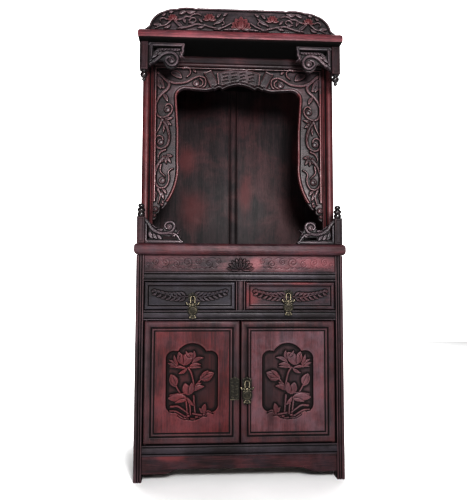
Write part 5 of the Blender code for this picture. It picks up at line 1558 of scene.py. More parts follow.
@dataclass
class DoorCarving:
    """A door's panel with a sunk, lobed field that holds a lotus, buds, leaves and water."""

    side: int
    half_width: float = 83.5
    half_height: float = 122.5
    depth: float = 7.6
    cell: float = 1.25
    thickness: float = 13.0
    centre: Point = DOOR_MIDDLE
    low: Point = (-278.2, 142.4)
    high: Point = (-29.3, 471.8)
    petal_blush: float = 0.12
    pebbles: Section = field(default_factory=lambda: [(-138, 195, 6.5), (-165, 199, 6.0), (-176, 197, 5.0)])
    stems: tuple[Stem, ...] = stems(
        (3.6, 0.9, -165, 348, -157, 335, -152, 319, -149, 304, -147, 289),
        (3.2, 0.8, -204, 292, -198, 281, -190, 269),
        (3.2, 0.8, -128, 311, -135, 302, -141, 293),
        (2.8, 0.9, -223, 264, -198, 268, -170, 269),
        (3.4, 0.8, -172, 244, -170, 226, -168, 205),
        (3.4, 0.8, -162, 241, -159, 223, -158, 203),
        (3.6, 0.8, -148, 261, -146, 236, -143, 203),
        (3.8, 0.7, -220, 228, -199, 229, -182, 219, -165, 207),
        (3.6, 0.7, -223, 215, -203, 213, -182, 201, -166, 194),
        (3.8, 0.8, -150, 206, -129, 202, -108, 200),
        (3.8, 0.6, -116, 202, -104, 214, -87, 207),
        (3.2, 0.7, -196, 201, -181, 192, -163, 190),
        (3.2, 0.7, -156, 190, -142, 190, -126, 196))
    leaves: tuple[Blade, ...] = blades(
        (-169, 349, -228, 354, 10, 0.06, 0.2, 4.6), (-172, 350, -122, 352, 10, -0.06, 0.2, 4.6),
        (-169, 346, -198, 330, 11, -0.08, 0, 4.4), (-198, 354, -228, 377, 11, 0.08, 0.1, 5),
        (-199, 358, -213, 392, 11.5, -0.08, 0.1, 5.2), (-189, 360, -200, 397, 12.5, -0.08, 0.1, 5.4),
        (-178, 380, -199, 401, 11, -0.1, 0.1, 5), (-150, 374, -147, 406, 11.5, 0.1, 0.2, 5),
        (-157, 365, -116, 384, 13.5, -0.14, 0.1, 5.2), (-164, 356, -123, 361, 12.5, -0.1, 0.1, 5),
        (-185, 359, -153, 398, 33, -0.04, 0.55, 6.4), (-186, 359, -188, 394, 15, -0.06, 0.2, 6.2),
        (-155, 380, -176, 403, 10.5, -0.12, 0.2, 5.8), (-206, 352, -232, 366, 10, 0.08, 0.1, 5.2),
        (-129, 314, -84, 333, 31, 0.04, 0.35, 6.2), (-124, 319, -84, 332, 13, 0.1, 0.1, 6.6),
        (-126, 318, -100, 343, 12.5, -0.1, 0.1, 6.4), (-206, 291, -220, 330, 29, 0.04, 0.45, 6),
        (-207, 294, -219, 328, 13, -0.1, 0.1, 6.4), (-145, 287, -123, 304, 12, -0.14, 0.1, 5.2),
        (-154, 279, -114, 293, 17.5, -0.12, 0.2, 5.6), (-163, 264, -178, 301, 27, -0.05, 0.55, 5.8),
        (-159, 266, -153, 303, 21, 0.05, 0.45, 6.2), (-169, 255, -229, 255, 28, 0.03, 0.5, 5.4),
        (-170, 250, -208, 241, 13, 0.06, 0.2, 5.8), (-170, 256, -144, 228, 12, 0.1, 0.1, 5.8),
        (-117, 204, -112, 237, 17.5, -0.06, 0.3, 5.4), (-121, 206, -130, 225, 9, 0.1, 0.1, 5))

    def cartouche(self) -> Line:
        """Draw the lobed outline of the left door's sunk field.

        Returns:
            Its points, closed.
        """
        shoulder = self.half_height - 25.0
        quarter = math.tan(math.pi / 8)
        top = [
            (self.half_width, shoulder - 25, quarter), (self.half_width - 25, shoulder, 0.0),
            (45, shoulder - 1, 25 / 45), (-45, shoulder - 1, 0.0), (25 - self.half_width, shoulder, quarter),
            (-self.half_width, shoulder - 25, 0.0),
        ]
        return arcs(top + [(-x, -z, bulge) for x, z, bulge in top] + top[:1], self.centre, 1, 6)[:-1]

    def sink(self, relief: Relief) -> None:
        """Sink the field, with a steep rounded wall.

        Args:
            relief: field to carve.
        """
        field_edge = Outline(relief, [self.cartouche()])
        depth = np.where(field_edge.points, field_edge.distance, 0.0)
        wall = np.clip(depth / 4.2, 0, 1)
        relief.height -= self.depth * wall * wall * (3 - 2 * wall)
        # Painted shade: the whole sunk field is darkened, and most along its wall.
        relief.painted_shade_and_stain = np.where(field_edge.points, 0.34 + 0.6 * np.exp(-(depth / 6.0) ** 2), 0.0)
        lip = np.where(field_edge.points, 0.0, field_edge.distance)
        relief.height += 0.5 * np.exp(-((lip - 2.0) / 1.6) ** 2) * (~field_edge.points)

    def mesh(self) -> BMesh:
        """Carve the left door's panel, and mirror it for the right door.

        Returns:
            The finished mesh.
        """
        relief = Relief(self.low, self.high, self.cell)
        self.sink(relief)
        base = 0.6 - self.depth
        for stem in self.stems:
            relief.stem(stem, rise=5.6, base=base, groove=0.5, moat=2.4, over=True)
        relief.pigment = self.petal_blush
        for leaf in self.leaves:
            relief.blade(leaf, base=base + 0.4, rib=0.5, cup=0.16, moat=2.0, over=True)
        relief.pigment = 0.0
        for x, z, radius in self.pebbles:
            relief.disc(x, z, radius, 5.4, base, squash=0.75, over=True)
        bm = Board(relief, [rectangle(self.low, self.high)], DOOR_PANEL_PLANE, self.thickness, 0.4).mesh()
        if self.side > 0:
            for vertex in bm.verts:
                vertex.co.x = -vertex.co.x
            bmesh.ops.reverse_faces(bm, faces=bm.faces)
        return bm


@dataclass
class DrawerCarving:
    """A drawer's front: a stepped moulding around a sunk field with a swag of leaves."""

    side: int
    inner: float = 17.8
    outer: float = 306.7
    low: float = 535.7
    high: float = 623.7
    cell: float = 1.1
    thickness: float = 17.0
    moulding: Line = field(default_factory=lambda: [
        (0, 0.6), (1.2, 2.4), (2.6, 3.1), (5.4, 3.3), (9.4, 3), (10.6, 2.2), (11.4, -0.4), (12.4, -1.6),
        (13.4, -0.4), (14.4, 0.6), (15.6, 0.4), (16.6, -0.6), (17.6, -2.6), (18.6, -3), (400, -2.4)])
    upper_leaves: int = 8
    lower_leaves: int = 7

    def profile(self, relief: Relief, distance: np.ndarray) -> None:
        """Add the stepped moulding along the edges to the carving of the field."""
        relief.height = relief.height + np.interp(distance, *zip(*self.moulding))

    def swag(self, relief: Relief, middle: Point) -> None:
        """Carve two wings of slanting leaves that thin towards the drawer's ends.

        Args:
            relief: field to carve.
            middle: where the wings meet.
        """
        x0, z0 = middle
        for side in (-1, 1):
            for row, count in ((1, self.upper_leaves), (-1, self.lower_leaves)):
                for i in range(count):
                    share = i / (count - 1)
                    root_x = 12 + 92 * share
                    root_z = -3 + 13 * share - 5 * math.sin(math.pi * share)
                    reach = 24 - 7 * share
                    rise = (15 if row > 0 else 17) * (1 - 0.45 * share)
                    root = (x0 + side * root_x, z0 + root_z + row * 1.5)
                    tip = (x0 + side * (root_x + reach), z0 + root_z + row * rise)
                    leaf = Blade(root, tip, 8.6, -side * row * 0.12, 0.15, 4.0)
                    relief.blade(leaf, base=0.2, rib=0.8, moat=1.8)
            course = ((8, -4), (40, -5), (76, 3), (104, 10), (119, 13))
            stem = Stem(tuple((x0 + side * dx, z0 + dz) for dx, dz in course), 2.6, 0.6)
            relief.stem(stem, rise=3.0, base=0.8, moat=1.2)
            relief.disc(x0 + side * 118, z0 + 13, 4.6, 3.6, 0.4, crescent=1.2, moat=1.4)

    def mesh(self) -> BMesh:
        """Carve the drawer's front.

        Returns:
            The finished mesh.
        """
        low_x, high_x = sorted((self.side * self.inner, self.side * self.outer))
        low, high = (low_x, self.low), (high_x, self.high)
        relief = Relief(low, high, self.cell)
        self.swag(relief, ((low_x + high_x) / 2, (self.low + self.high) / 2 + 1.0))
        outline = rectangle(low, high)
        return Board(relief, [outline], DRAWER_EDGE_PLANE, self.thickness, 0.3, self.profile).mesh()


@dataclass
class FriezeCarving:
    """The frieze under the sill: fine engraved scrolls on either side of a raised lotus."""

    half: float = 308.7
    low: float = 656.3
    high: float = 709.7
    thickness: float = 14.0
    cell: float = 1.25
    cut: float = 0.6
    wave_cut: float = 0.5
    lotus_soot: float = 0.42
    lotus_reach: float = 44.0

    def scrolls(self, relief: Relief) -> None:
        """Engrave a line of spirals along the right half, with short waves under and over it.

        Args:
            relief: field to carve.
        """
        spirals = ((72, 690, 9, 1), (103, 682, 13, -1), (138, 689, 11, 1), (172, 687, 17, -1),
                   (208, 681, 12, 1), (242, 687, 14, -1), (275, 688, 12, 1), (298, 680, 7, -1))
        for x, z, radius, turn in spirals:
            relief.engrave(spiral((x, z), 90 * turn, 560 * turn, radius, 2.0), self.cut, self.cut)
        under = ((88, 670, 26), (122, 668, 24), (156, 667, 28), (192, 668, 24), (226, 668, 26),
                 (260, 669, 24), (288, 667, 18))
        over = ((92, 700, 24), (124, 701, 18), (192, 701, 18), (224, 700, 22), (258, 702, 16))
        for waves, shape in ((under, ((-1 / 2, 3), (-1 / 5, -2), (1 / 5, 2), (1 / 2, -1))),
                             (over, ((-1 / 2, -2), (0, 2), (1 / 2, -1)))):
            for x, z, width in waves:
                wave = flow([(x + share * width, z + dz) for share, dz in shape])
                relief.engrave(wave, self.cut, self.wave_cut)

    def lotus(self, relief: Relief) -> None:
        """Carve the raised lotus in the middle.

        Args:
            relief: field to carve.
        """
        petals = both_ways((88, 11, 40, 3.0), (66, 13, 38, 3.4), (44, 14, 36, 3.8), (22, 14, 36, 4.0),
                           (0, 13, 36, 3.8), (34, 13, 24, 4.6), (0, 15, 24, 5))
        for lean, width, length, rise in petals:
            angle = math.radians(lean)
            relief.leaf(math.sin(angle) * length * 0.62, 666 + math.cos(angle) * length * 0.5, width, length,
                        rise, lean, 0.0, rib=0.7, cup=0.15, blunt=0.15, over=True, moat=1.6)
        for side in (-1, 1):
            leaf = Blade((side * 4, 662), (side * 42, 664), 7, side * 0.06, 0.0, 4.0)
            relief.blade(leaf, base=0.0, over=True)
        relief.painted_shade_and_stain = np.where(np.abs(relief.height) > 0.3, self.lotus_soot, relief.painted_shade_and_stain)
        relief.painted_shade_and_stain[:, np.abs(relief.x) > self.lotus_reach] = 0.0

    def mesh(self) -> BMesh:
        """Carve the frieze.

        Returns:
            The finished mesh.
        """
        low, high = (-self.half, self.low), (self.half, self.high)
        relief = Relief(low, high, self.cell)
        self.scrolls(relief)
        relief.mirror()
        self.lotus(relief)
        return Board(relief, [rectangle(low, high)], FRIEZE_PLANE, self.thickness, 0.4).mesh()


@dataclass
class Carvings:
    """All the carved boards of the cabinet."""

    shop: Workshop

    def build(self) -> None:
        """Make each carved board and put it in its solid's place."""
        boards = [("carved_arch", ArchCarving(), ROOT, ARCH_WOOD, "arch"),
                  ("carved_crest", CrestCarving(), ROOT, CREST_WOOD, "crest"),
                  ("carved_frieze", FriezeCarving(), ROOT, FRIEZE, "frieze_board")]
        for name, side in SIDES:
            for level in ("upper", "lower"):
                boards.append((f"carved_bracket_{level}_{name}", BracketCarving(side, level == "upper"), ROOT,
                               BRACKET_WOOD, f"bracket_{level}_{name}"))
            boards.append((f"lotus_panel_{name}", DoorCarving(side), f"door_{name}",
                           DOOR_RED if side < 0 else DOOR_PINK, f"door_panel_{name}"))
            boards.append((f"leaf_drawer_front_{name}", DrawerCarving(side), f"drawer_{name}",
                           DRAWER_GREY if side < 0 else DRAWER_RED, f"drawer_front_{name}"))
        for name, carving, body, wood, node in boards:
            self.shop.piece(name, carving.mesh(), body, wood, node)


@dataclass
class Mouldings:
    """Legs, rails, posts and door frames with their beads and grooves."""

    shop: Workshop
    lap: float = 0.4
    # The third number of each section point is painted light: over 0 a rubbed edge with a painted highlight,
    # under 0 the painted shade of a groove.
    bead: Section = field(default_factory=lambda: [
        (0, 2.6, -0.7), (0.7, 0.6, 0.3), (2.4, 0, 0.6), (4.5, 0.5, 0.3), (5.4, 1.8, -0.5), (6.3, 3.6, -1),
        (7.2, 3.2, -1), (8, 1, -0.1), (9.6, 0.4, 0.15)])
    leg: Section = field(default_factory=lambda: [
        (0, 40, 0), (0, 2.4, -0.7), (0.8, 0.5, 0.3), (2.6, 0, 0.6), (4.6, 0.4, 0.3), (5.5, 1.7, -0.5),
        (6.4, 3.6, -1), (7.2, 3, -1), (8.2, 0.9, -0.1), (9.6, 0.3, 0.3), (11.8, 0.3, 0.3), (12.8, 1.4, -0.4),
        (13.7, 3.4, -1), (14.5, 2.8, -1), (15.4, 0.9, 0), (17, 0.1, 0.4), (21, 0, 0.5), (23.4, 1.2, 0.4),
        (25, 4, 0.1), (25, 40, 0)])
    post: Section = field(default_factory=lambda: [
        (0, 35, 0), (0, 5, -0.7), (0.9, 3.3, 0.1), (2.6, 3, 0.4), (3.8, 3.6, 0), (4.6, 5.4, -1),
        (5.4, 3.8, 0), (6.6, 3, 0.4), (9, 3.2, 0.2), (10.8, 4.6, -0.4), (12.2, 8, -1), (14.4, 8, -1),
        (15.4, 5.2, -0.5), (16.8, 3.4, 0.1), (18.2, 2.4, 0.2), (18.9, 3, -0.8), (19.6, 1.8, 0.1),
        (22.5, 0.7, 0.4), (26.5, 0, 0.5), (31, 0.5, 0.4), (34.6, 2, 0.3), (37.4, 4.4, 0), (39, 8, -0.5),
        (39, 35, 0)])
    frame: Section = field(default_factory=lambda: [
        (0, 22, 0), (0, 5.4, -0.6), (0.9, 3.2, 0), (2.6, 1.5, 0.3), (5, 0.5, 0.4), (9, 0, 0.4),
        (13.5, 0.1, 0.3), (17, 0.9, 0.1), (19.4, 2, -0.1), (20.8, 3.4, -0.5), (21.8, 6.2, -1),
        (23.4, 6.4, -1), (24.2, 4.4, -0.3), (25.4, 3.2, 0.4), (27.4, 2.7, 0.6), (29.4, 3.2, 0.4),
        (30.8, 4.6, -0.2), (31.8, 6.8, -1), (34, 7.4, -1), (34, 8, -1), (27.5, 8, 0), (27.5, 22, 0)])
    frame_size: Point = (304.5, 385.0)
    frame_face: float = -218.0
    pin_inset: float = 7.0
    pin_radius: float = 4.0
    pin_length: float = 9.0

    def beaded(self, low: float, high: float, front: float, depth: float) -> Section:
        """Return a bar's section with a bead and a groove along both edges.

        Args:
            low: one edge, as x of an upright bar or z of a level one.
            high: the other edge.
            front: y of its front.
            depth: thickness of the bar.

        Returns:
            The closed section.
        """
        first = [(low + inset, front + deep, shade) for inset, deep, shade in self.bead]
        last = [(high - inset, front + deep, shade) for inset, deep, shade in reversed(self.bead)]
        middle = [((low + high) / 2, front + 0.1, 0.3)]
        return [(low, front + depth, 0.0)] + first + middle + last + [(high, front + depth, 0.0)]

    def span(self, node: str) -> tuple[Vector, Vector]:
        """Return a solid's lowest and highest corners in millimetres."""
        low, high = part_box(node)
        return low / MM, high / MM

    def bar(self, name: str, section: Section, axis: str, finish: Wood, node: str) -> None:
        """Run a section over the length of a solid and put the moulding in its place.

        Args:
            name: name of the piece, without its first word.
            section: its section.
            axis: X or Z.
            finish: its finish.
            node: the solid.
        """
        low, high = self.span(node)
        ends = (low.x, high.x) if axis == "X" else (low.z, high.z)
        self.shop.piece(f"moulded_{name}", swept(section, axis, *ends), ROOT, finish, node)

    def rails(self) -> None:
        """Make the level rails, the upright between the drawers and the bar in the niche's back."""
        for node in ("bottom_rail", "drawer_rail", "frieze_rail"):
            low, high = self.span(node)
            self.bar(node, self.beaded(low.z, high.z, LEG_FRONT, high.y - low.y), "X", RAIL_DARK, node)
        low, high = self.span("drawer_upright")
        section = self.beaded(low.x, high.x, LEG_FRONT, high.y - low.y)
        self.bar("drawer_upright", section, "Z", LEG_DARK, "drawer_upright")
        low, high = self.span("niche_muntin")
        section = self.beaded(low.x - self.lap, high.x + self.lap, low.y, high.y - low.y)
        self.bar("niche_muntin", section, "Z", NICHE_WOOD, "niche_muntin")

    def uprights(self, name: str, side: int) -> None:
        """Make one side's front leg and the niche's front post.

        Args:
            name: left or right.
            side: -1 or 1.
        """
        low, high = self.span(f"leg_front_{name}")
        inner = min(abs(low.x), abs(high.x))
        section = [(side * (inner + across), LEG_FRONT + deep, shade) for across, deep, shade in self.leg]
        self.bar(f"leg_{name}", section, "Z", LEG_DARK, f"leg_front_{name}")
        front = self.span(f"niche_post_front_{name}")[0].y
        section = [(side * (NICHE_INNER + across), front + deep, shade) for across, deep, shade in self.post]
        self.bar(f"niche_post_{name}", section, "Z", POST_RED, f"niche_post_front_{name}")

    def door_frame(self, name: str, side: int) -> None:
        """Make a door's mitred frame with its two wooden pivots.

        Args:
            name: left or right.
            side: -1 or 1.
        """
        width, height = self.frame_size
        bm = bmesh.new()
        layer = bm.verts.layers.float.new("relief")
        corners = []
        for inward, deep, shade in self.frame:
            vertex = bm.verts.new((width / 2 - inward, self.frame_face + deep, width / 2 - inward))
            vertex[layer] = shade
            corners.append(vertex)
        loop = [bm.edges.new(pair) for pair in zip(corners, corners[1:] + corners[:1])]
        bmesh.ops.spin(bm, geom=corners + loop, cent=(0, 0, 0), axis=(0, 1, 0), angle=2 * math.pi, steps=4,
                       use_merge=True)
        bmesh.ops.remove_doubles(bm, verts=bm.verts, dist=0.01)
        for vertex in bm.verts:
            vertex.co.z += math.copysign((height - width) / 2, vertex.co.z)
        centre_x = -side * DOOR_MIDDLE[0]
        bmesh.ops.translate(bm, vec=(centre_x, 0, DOOR_MIDDLE[1]), verts=bm.verts)
        reach = self.pin_inset + self.pin_length
        pin_x = centre_x + side * (width / 2 - self.pin_inset)
        for end in (-1, 1):
            middle_z = DOOR_MIDDLE[1] + end * (height / 2 + self.pin_length - reach / 2)
            pin = bmesh.ops.create_cone(bm, cap_ends=True, segments=20, radius1=self.pin_radius,
                                        radius2=self.pin_radius, depth=reach)["verts"]
            bmesh.ops.translate(bm, vec=(pin_x, self.frame_face + self.pin_inset, middle_z), verts=pin)
        self.shop.piece(f"moulded_door_frame_{name}", in_metres(bm), f"door_{name}", FRAME_RED,
                        f"door_frame_{name}")

    def build(self) -> None:
        """Make all the mouldings."""
        self.rails()
        for name, side in SIDES:
            self.uprights(name, side)
            self.door_frame(name, side)


@dataclass
class Carcass:
    """The boards and posts that keep their solids."""

    shop: Workshop

    def build(self) -> None:
        """Dress the carcass."""
        paired = {"leg_back": ROSEWOOD, "side_panel": ROSEWOOD,
                  "side_apron": replace(ROSEWOOD, grain=Grain.Y),
                  "drawer_box": PlainBoard("box_wood", grain=Grain.Y), "niche_post_back": ROSEWOOD,
                  "niche_side": ROSEWOOD, "niche_back": NICHE_WOOD, "hanging_post": LEG_DARK,
                  "stub_post": LEG_DARK}
        board = PlainBoard("board_wood", grain=Grain.Y)
        single = {"top_rail": replace(FRAME_RED, grain=Grain.X), "front_apron": APRON_RED, "sill": SILL_RED,
                  "canopy": CANOPY_LIT_RED, "back_panel": PlainBoard("panel_wood", grain=Grain.Z),
                  "floor_board": board, "dust_board": board, "drawer_divider": board}
        finishes = {f"{part}_{name}": finish for name, _ in SIDES for part, finish in paired.items()} | single
        for node, finish in finishes.items():
            self.shop.dress(node, finish)


@dataclass
class Turnings:
    """The turned pendants and finials of the front plane."""

    shop: Workshop
    sharp: float = 50.0
    pendant_place: Place = (319.5, -207.5, 1320.5)
    finial_place: Place = (321.5, -208.5, 834.0)
    pendant: Line = field(default_factory=lambda: [
        (0, -0.3), (9, -0.3), (9.2, -2.5), (7.2, -4.5), (6.2, -6.5), (8.6, -8.6), (11.4, -11.6), (12, -15),
        (11.2, -19), (8.4, -23), (5.2, -25.4), (4.2, -27.4), (5.6, -29.2), (6.2, -31.4), (5.2, -34.2),
        (3.2, -36.6), (0, -38)])
    finial: Line = field(default_factory=lambda: [
        (0, 43), (4, 42.6), (7.4, 41), (9.6, 38), (10.2, 34.6), (9, 31.4), (6.2, 29.6), (8.6, 28),
        (11.8, 25.4), (12.5, 22.4), (12.2, 19), (9.4, 16), (8.8, 14.8), (11, 13.2), (11.7, 11), (11.7, 6),
        (10.8, 2.4), (9, 0.3), (0, 0.3)])

    def build(self) -> None:
        """Make the four turned ends."""
        for name, side in SIDES:
            for kind, profile, (x, y, z) in (("pendant", self.pendant, self.pendant_place),
                                             ("finial", self.finial, self.finial_place)):
                mesh = turned(profile, (side * x, y, z))
                self.shop.piece(f"turned_{kind}_{name}", mesh, ROOT, Turning(), f"{kind}_{name}", self.sharp)


@dataclass
class BrassWork:
    """Petal-crowned plates with their staples, and the cast drop pulls."""

    shop: Workshop
    cell: float = 0.5
    axis_y: float = -224.8
    pull_thickness: float = 3.0
    plate_thickness: float = 1.6
    plate_half: float = 15.0
    crown: float = 14.0
    ring_radius: float = 4.24
    wire_radius: float = 1.2
    hatch: float = 4.2
    drawer_plate: Point = (-217.0, 16.0)
    door_plate: Point = (-218.3, 61.0)
    fittings: tuple[tuple[str, str, str, Point, str], ...] = (
        ("drawer", "left", "drawer_pull_l", (-153.0, 578.0), "drawer_pull_left"),
        ("drawer", "right", "drawer_pull_r", (154.0, 588.0), "drawer_pull_right"),
        ("door", "left", "", (-18.0, 311.0), ""),
        ("door", "right", "door_pull", (21.0, 311.0), "door_pull_right"),
    )

    def plate(self, middle: Point, back: float, tail: float, staple: bool) -> BMesh:
        """Make a plate with a petal crown, an engraved tail and the ring that carries a pull.

        Args:
            middle: x and z of the staple.
            back: y of the surface that the plate lies on.
            tail: length below the staple.
            staple: whether it has its ring.

        Returns:
            The mesh in metres.
        """
        half = self.plate_half
        outline = arcs([
            (-half + 3, -tail, 0.0), (half - 3, -tail, 0.3), (half, -tail + 5, 0.0), (half, -4, 0.45),
            (half - 6, self.crown * 0.6, 0.45), (4, self.crown * 0.62, 0.9), (-4, self.crown * 0.62, 0.45),
            (-half + 6, self.crown * 0.6, 0.45), (-half, -4, 0.0), (-half, -tail + 5, 0.3),
            (-half + 3, -tail, 0.0),
        ], middle, 1, 10)[:-1]
        x, z = middle
        relief = Relief((x - half - 1, z - tail - 0.5), (x + half + 1, z + self.crown + 1.5), self.cell, -0.2)
        relief.trench = 0.45
        leaves = []
        for side in (-1, 1):
            leaves += [(side * 3, -1, side * 13, 8, 9, 0.0, 0.5, 1.2),
                       (side * 4, -3, side * 14, -4, 6, 0.0, 0.3, 1.0)]
            for step in range(int((tail - 14) / 9)):
                root = -14 - 9 * step
                leaves.append((side, root - 5, side * 12, root + 1, 5.5, side * 0.12, 0.1, 1.0))
        leaves.append((0, 0, 0, self.crown, 9, 0.0, 0.4, 1.3))
        self.engraved(relief, middle, leaves, base=-0.1, rib=0.35, moat=0.8)
        foot = z - tail + 1.6
        relief.stroke([(x - half + 2, foot), (x + half - 2, foot)], 1.3, 1.0, 0.8, -0.1, moat=0.6)
        relief.disc(x, z - 8, 2.6, -1.2, -0.2, moat=0.0, over=True)
        bm = Board(relief, [outline], back - self.plate_thickness, self.plate_thickness, 0.4).mesh()
        return joined(bm, self.staple(middle, back)) if staple else bm

    def staple(self, middle: Point, back: float) -> BMesh:
        """Make the ring that a pull hangs in, with its stem into the plate.

        Args:
            middle: x and z of the ring.
            back: y of the surface that the plate lies on.

        Returns:
            The mesh in metres.
        """
        bm = bmesh.new()
        wire = bmesh.ops.create_circle(bm, segments=8, radius=self.wire_radius)["verts"]
        bmesh.ops.translate(bm, vec=(0, self.ring_radius, 0), verts=wire)
        bmesh.ops.spin(bm, geom=wire + list(bm.edges), cent=(0, 0, 0), axis=(1, 0, 0), angle=2 * math.pi,
                       steps=24, use_merge=True)
        bmesh.ops.remove_doubles(bm, verts=bm.verts, dist=WELD)
        start = self.ring_radius - self.wire_radius / 3
        end = back - self.plate_thickness / 2 - self.axis_y
        stem = bmesh.ops.create_cone(bm, cap_ends=True, segments=10, radius1=self.wire_radius,
                                     radius2=self.wire_radius, depth=end - start)["verts"]
        bmesh.ops.rotate(bm, cent=(0, 0, 0), matrix=Matrix.Rotation(math.pi / 2, 3, "X"), verts=stem)
        bmesh.ops.translate(bm, vec=(0, (start + end) / 2, 0), verts=stem)
        bmesh.ops.translate(bm, vec=(middle[0], self.axis_y, middle[1]), verts=bm.verts)
        return in_metres(bm)

    @staticmethod
    def engraved(relief: Relief, middle: Point, leaves: list[tuple[float, ...]], **shape: float) -> None:
        """Work fine leaves into the metal.

        Args:
            relief: field to carve.
            middle: place that the leaves are measured from.
            leaves: rows as the function blades takes them.
            shape: what else the method leaf takes.
        """
        x, z = middle
        for leaf in blades(*((x + x0, z + z0, x + x1, z + z1, *rest) for x0, z0, x1, z1, *rest in leaves)):
            relief.blade(leaf, **shape)

    def pull(self, middle: Point) -> BMesh:
        """Make a drop pull: an arch over an open eye, two side leaves, a hatched disc and a lobed foot.

        Args:
            middle: x and z of the ring that it hangs in.

        Returns:
            The mesh in metres.
        """
        half = self.pull_thickness / 2
        right = [
            (0, half, 0), (5.5, half, -0.3), (9, -9, -0.1), (8, -20, 0.25), (12, -23, 0), (22, -18, -0.3),
            (20, -27, 0), (11, -32, -0.53), (8, -60, -0.45), (12, -67, -0.5), (5, -73.5, -0.3), (0, -70, 0),
        ]
        outline = arcs(right, middle, 1, 10) + arcs(right, middle, -1, 10)[1:-1][::-1]
        eye = arcs([(-4.5, -half, 0), (4.5, -half, -0.1), (4.5, -19, -0.7), (-4.5, -19, -0.1),
                    (-4.5, -half, 0)], middle, 1, 15)[:-1]
        x, z = middle
        relief = Relief((x - 23, z - 76), (x + 23, z + 2), self.cell, -0.4)
        relief.trench = 0.6
        for side in (-1, 1):
            limb = [(0, -0.4), (5, -2), (7.2, -9), (6.6, -20)]
            relief.stroke(flow([(x + side * dx, z + dz) for dx, dz in limb]), 2.4, 0.9, 2.0, -0.2, moat=0.8)
            leaves = [(side * 6, -29, side * 21.5, -19, 9, side * 0.1, 0.1, 2.4),
                      (side * 6, -32, side * 18, -30, 6, side * 0.1, 0.1, 1.8),
                      (side * 2, -60, side * 11, -69, 6, 0.0, 0.4, 1.8)]
            self.engraved(relief, middle, leaves, base=-0.2, rib=0.5, moat=1.0)
        relief.disc(x, z - 26, 4.6, 2.6, -0.2)
        relief.disc(x, z - 45, 13.2, 2.6, 0.0, moat=1.2)
        before = relief.height.copy()
        for step in range(-3, 4):
            for slope in (-1, 1):
                across = x + step * self.hatch
                line = [(across - 10, z - 45 - slope * 10), (across + 10, z - 45 + slope * 10)]
                relief.stroke(line, 0.7, 1.0, 0.9, -2.0, moat=0.0, over=True)
        touched = relief.height != before
        disc = np.hypot(relief.x[None, :] - x, relief.z[:, None] - z + 45) < 10.5
        relief.height = np.where(touched & disc, before - 0.7, before)
        self.engraved(relief, middle, [(0, -60, 0, -73, 7, 0.0, 0.5, 2.0)], base=-0.2, rib=0.5, moat=1.0)
        return Board(relief, [outline, eye], self.axis_y - half, self.pull_thickness, 0.8).mesh()

    def build(self) -> None:
        """Make all the brass."""
        brass = Brass("plate_brass", rubbing=0.4)
        cast = Brass("pull_brass", rubbing=0.62)
        for kind, name, body, middle, pull in self.fittings:
            back, tail = self.drawer_plate if kind == "drawer" else self.door_plate
            plate = self.plate(middle, back, tail, bool(pull))
            self.shop.piece(f"brass_plate_{kind}_{name}", plate, f"{kind}_{name}", brass,
                            f"{kind}_plate_{name}")
            if pull:
                self.shop.piece(f"brass_pull_{kind}_{name}", self.pull(middle), body, cast, pull)


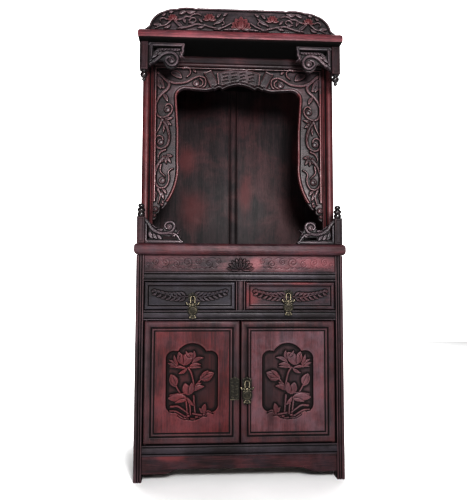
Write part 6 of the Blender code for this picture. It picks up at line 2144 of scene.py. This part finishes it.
@dataclass
class Studio:
    """Floor, lights and the camera at the photograph's angle."""

    eye: Place = (-0.126, -1.937, 0.608)
    yaw: float = 3.43
    pitch: float = 3.96
    roll: float = 0.15
    lens: float = 38.43
    ambient: float = 0.05
    contrast: float = 0.64
    exposure: float = 1.15
    floor_half: float = 4.0

    def camera(self) -> None:
        """Set the camera."""
        yaw = math.radians(self.yaw)
        pitch = math.radians(self.pitch)
        roll = math.radians(self.roll)
        ahead = Vector((math.sin(yaw) * math.cos(pitch), math.cos(yaw) * math.cos(pitch), math.sin(pitch)))
        right = Vector((math.cos(yaw), -math.sin(yaw), 0.0))
        up = right.cross(ahead)
        across = math.cos(roll) * right + math.sin(roll) * up
        upright = math.cos(roll) * up - math.sin(roll) * right
        data = bpy.data.cameras.new("photo_camera")
        data.lens = self.lens
        data.sensor_width = 36.0
        camera = placed("photo_camera", data)
        camera.matrix_world = Matrix((
            (across.x, upright.x, -ahead.x, self.eye[0]),
            (across.y, upright.y, -ahead.y, self.eye[1]),
            (across.z, upright.z, -ahead.z, self.eye[2]),
            (0, 0, 0, 1),
        ))
        bpy.context.scene.camera = camera

    def lamp(self, name: str, place: Place, aim: Place, size: float, watts: float) -> None:
        """Hang a soft square lamp.

        Args:
            name: its name.
            place: where it hangs.
            aim: what it looks at.
            size: length of its sides.
            watts: its power.
        """
        data = bpy.data.lights.new(name, "AREA")
        data.shape = "SQUARE"
        data.size = size
        data.energy = watts
        lamp = placed(name, data)
        lamp.location = place
        lamp.rotation_euler = (Vector(aim) - Vector(place)).to_track_quat("-Z", "Y").to_euler()

    def floor(self) -> None:
        """Lay a plain pale floor."""
        bm = bmesh.new()
        bmesh.ops.create_grid(bm, x_segments=8, y_segments=8, size=self.floor_half)
        mesh = bpy.data.meshes.new("studio_floor")
        bm.to_mesh(mesh)
        bm.free()
        shader = Shader("pale_floor")
        grain = shader.cloud(3.0, 4.0)
        colour = shader.mix(grain.step(0.3, 0.7), (0.86, 0.86, 0.86), (0.9, 0.9, 0.9))
        shader.cover(colour, 0.8 + 0.1 * grain)
        mesh.materials.append(shader.material)
        placed("studio_floor", mesh)

    def world(self) -> None:
        """Light the room with an even, near white world."""
        world = bpy.data.worlds.new("studio_world")
        world.use_nodes = True
        tree = world.node_tree
        background = tree.nodes["Background"]
        background.inputs["Color"].default_value = (1.0, 1.0, 1.0, 1.0)
        path = tree.nodes.new("ShaderNodeLightPath")
        strength = tree.nodes.new("ShaderNodeMapRange")
        strength.inputs["To Min"].default_value = self.ambient
        strength.inputs["To Max"].default_value = 1.0
        tree.links.new(path.outputs["Is Camera Ray"], strength.inputs["Value"])
        tree.links.new(strength.outputs["Result"], background.inputs["Strength"])
        bpy.context.scene.world = world

    def build(self) -> None:
        """Set up the studio."""
        view = bpy.context.scene.view_settings
        view.view_transform = "Standard"
        view.gamma = self.contrast
        view.exposure = self.exposure
        self.camera()
        self.world()
        self.floor()
        self.lamp("key_lamp", (0.2, -2.15, 1.22), (0.0, 0.0, 0.78), 0.42, 34.0)
        self.lamp("top_lamp", (0.45, -2.5, 2.0), (0.0, 0.0, 0.9), 0.9, 8.0)
        self.lamp("low_lamp", (-1.0, -1.7, 0.25), (0.0, 0.0, 0.95), 0.35, 7.0)
        self.lamp("rear_lamp", (0.0, 2.4, 3.4), (0.0, 2.41, 0.0), 3.4, 150.0)


def main() -> None:
    """Build every part of the scene."""
    logging.basicConfig(level=logging.INFO, format="%(name)s: %(message)s")
    shop = Workshop()
    Studio().build()
    Carcass(shop).build()
    Mouldings(shop).build()
    Carvings(shop).build()
    Turnings(shop).build()
    BrassWork(shop).build()


if __name__ == "__main__":
    main()
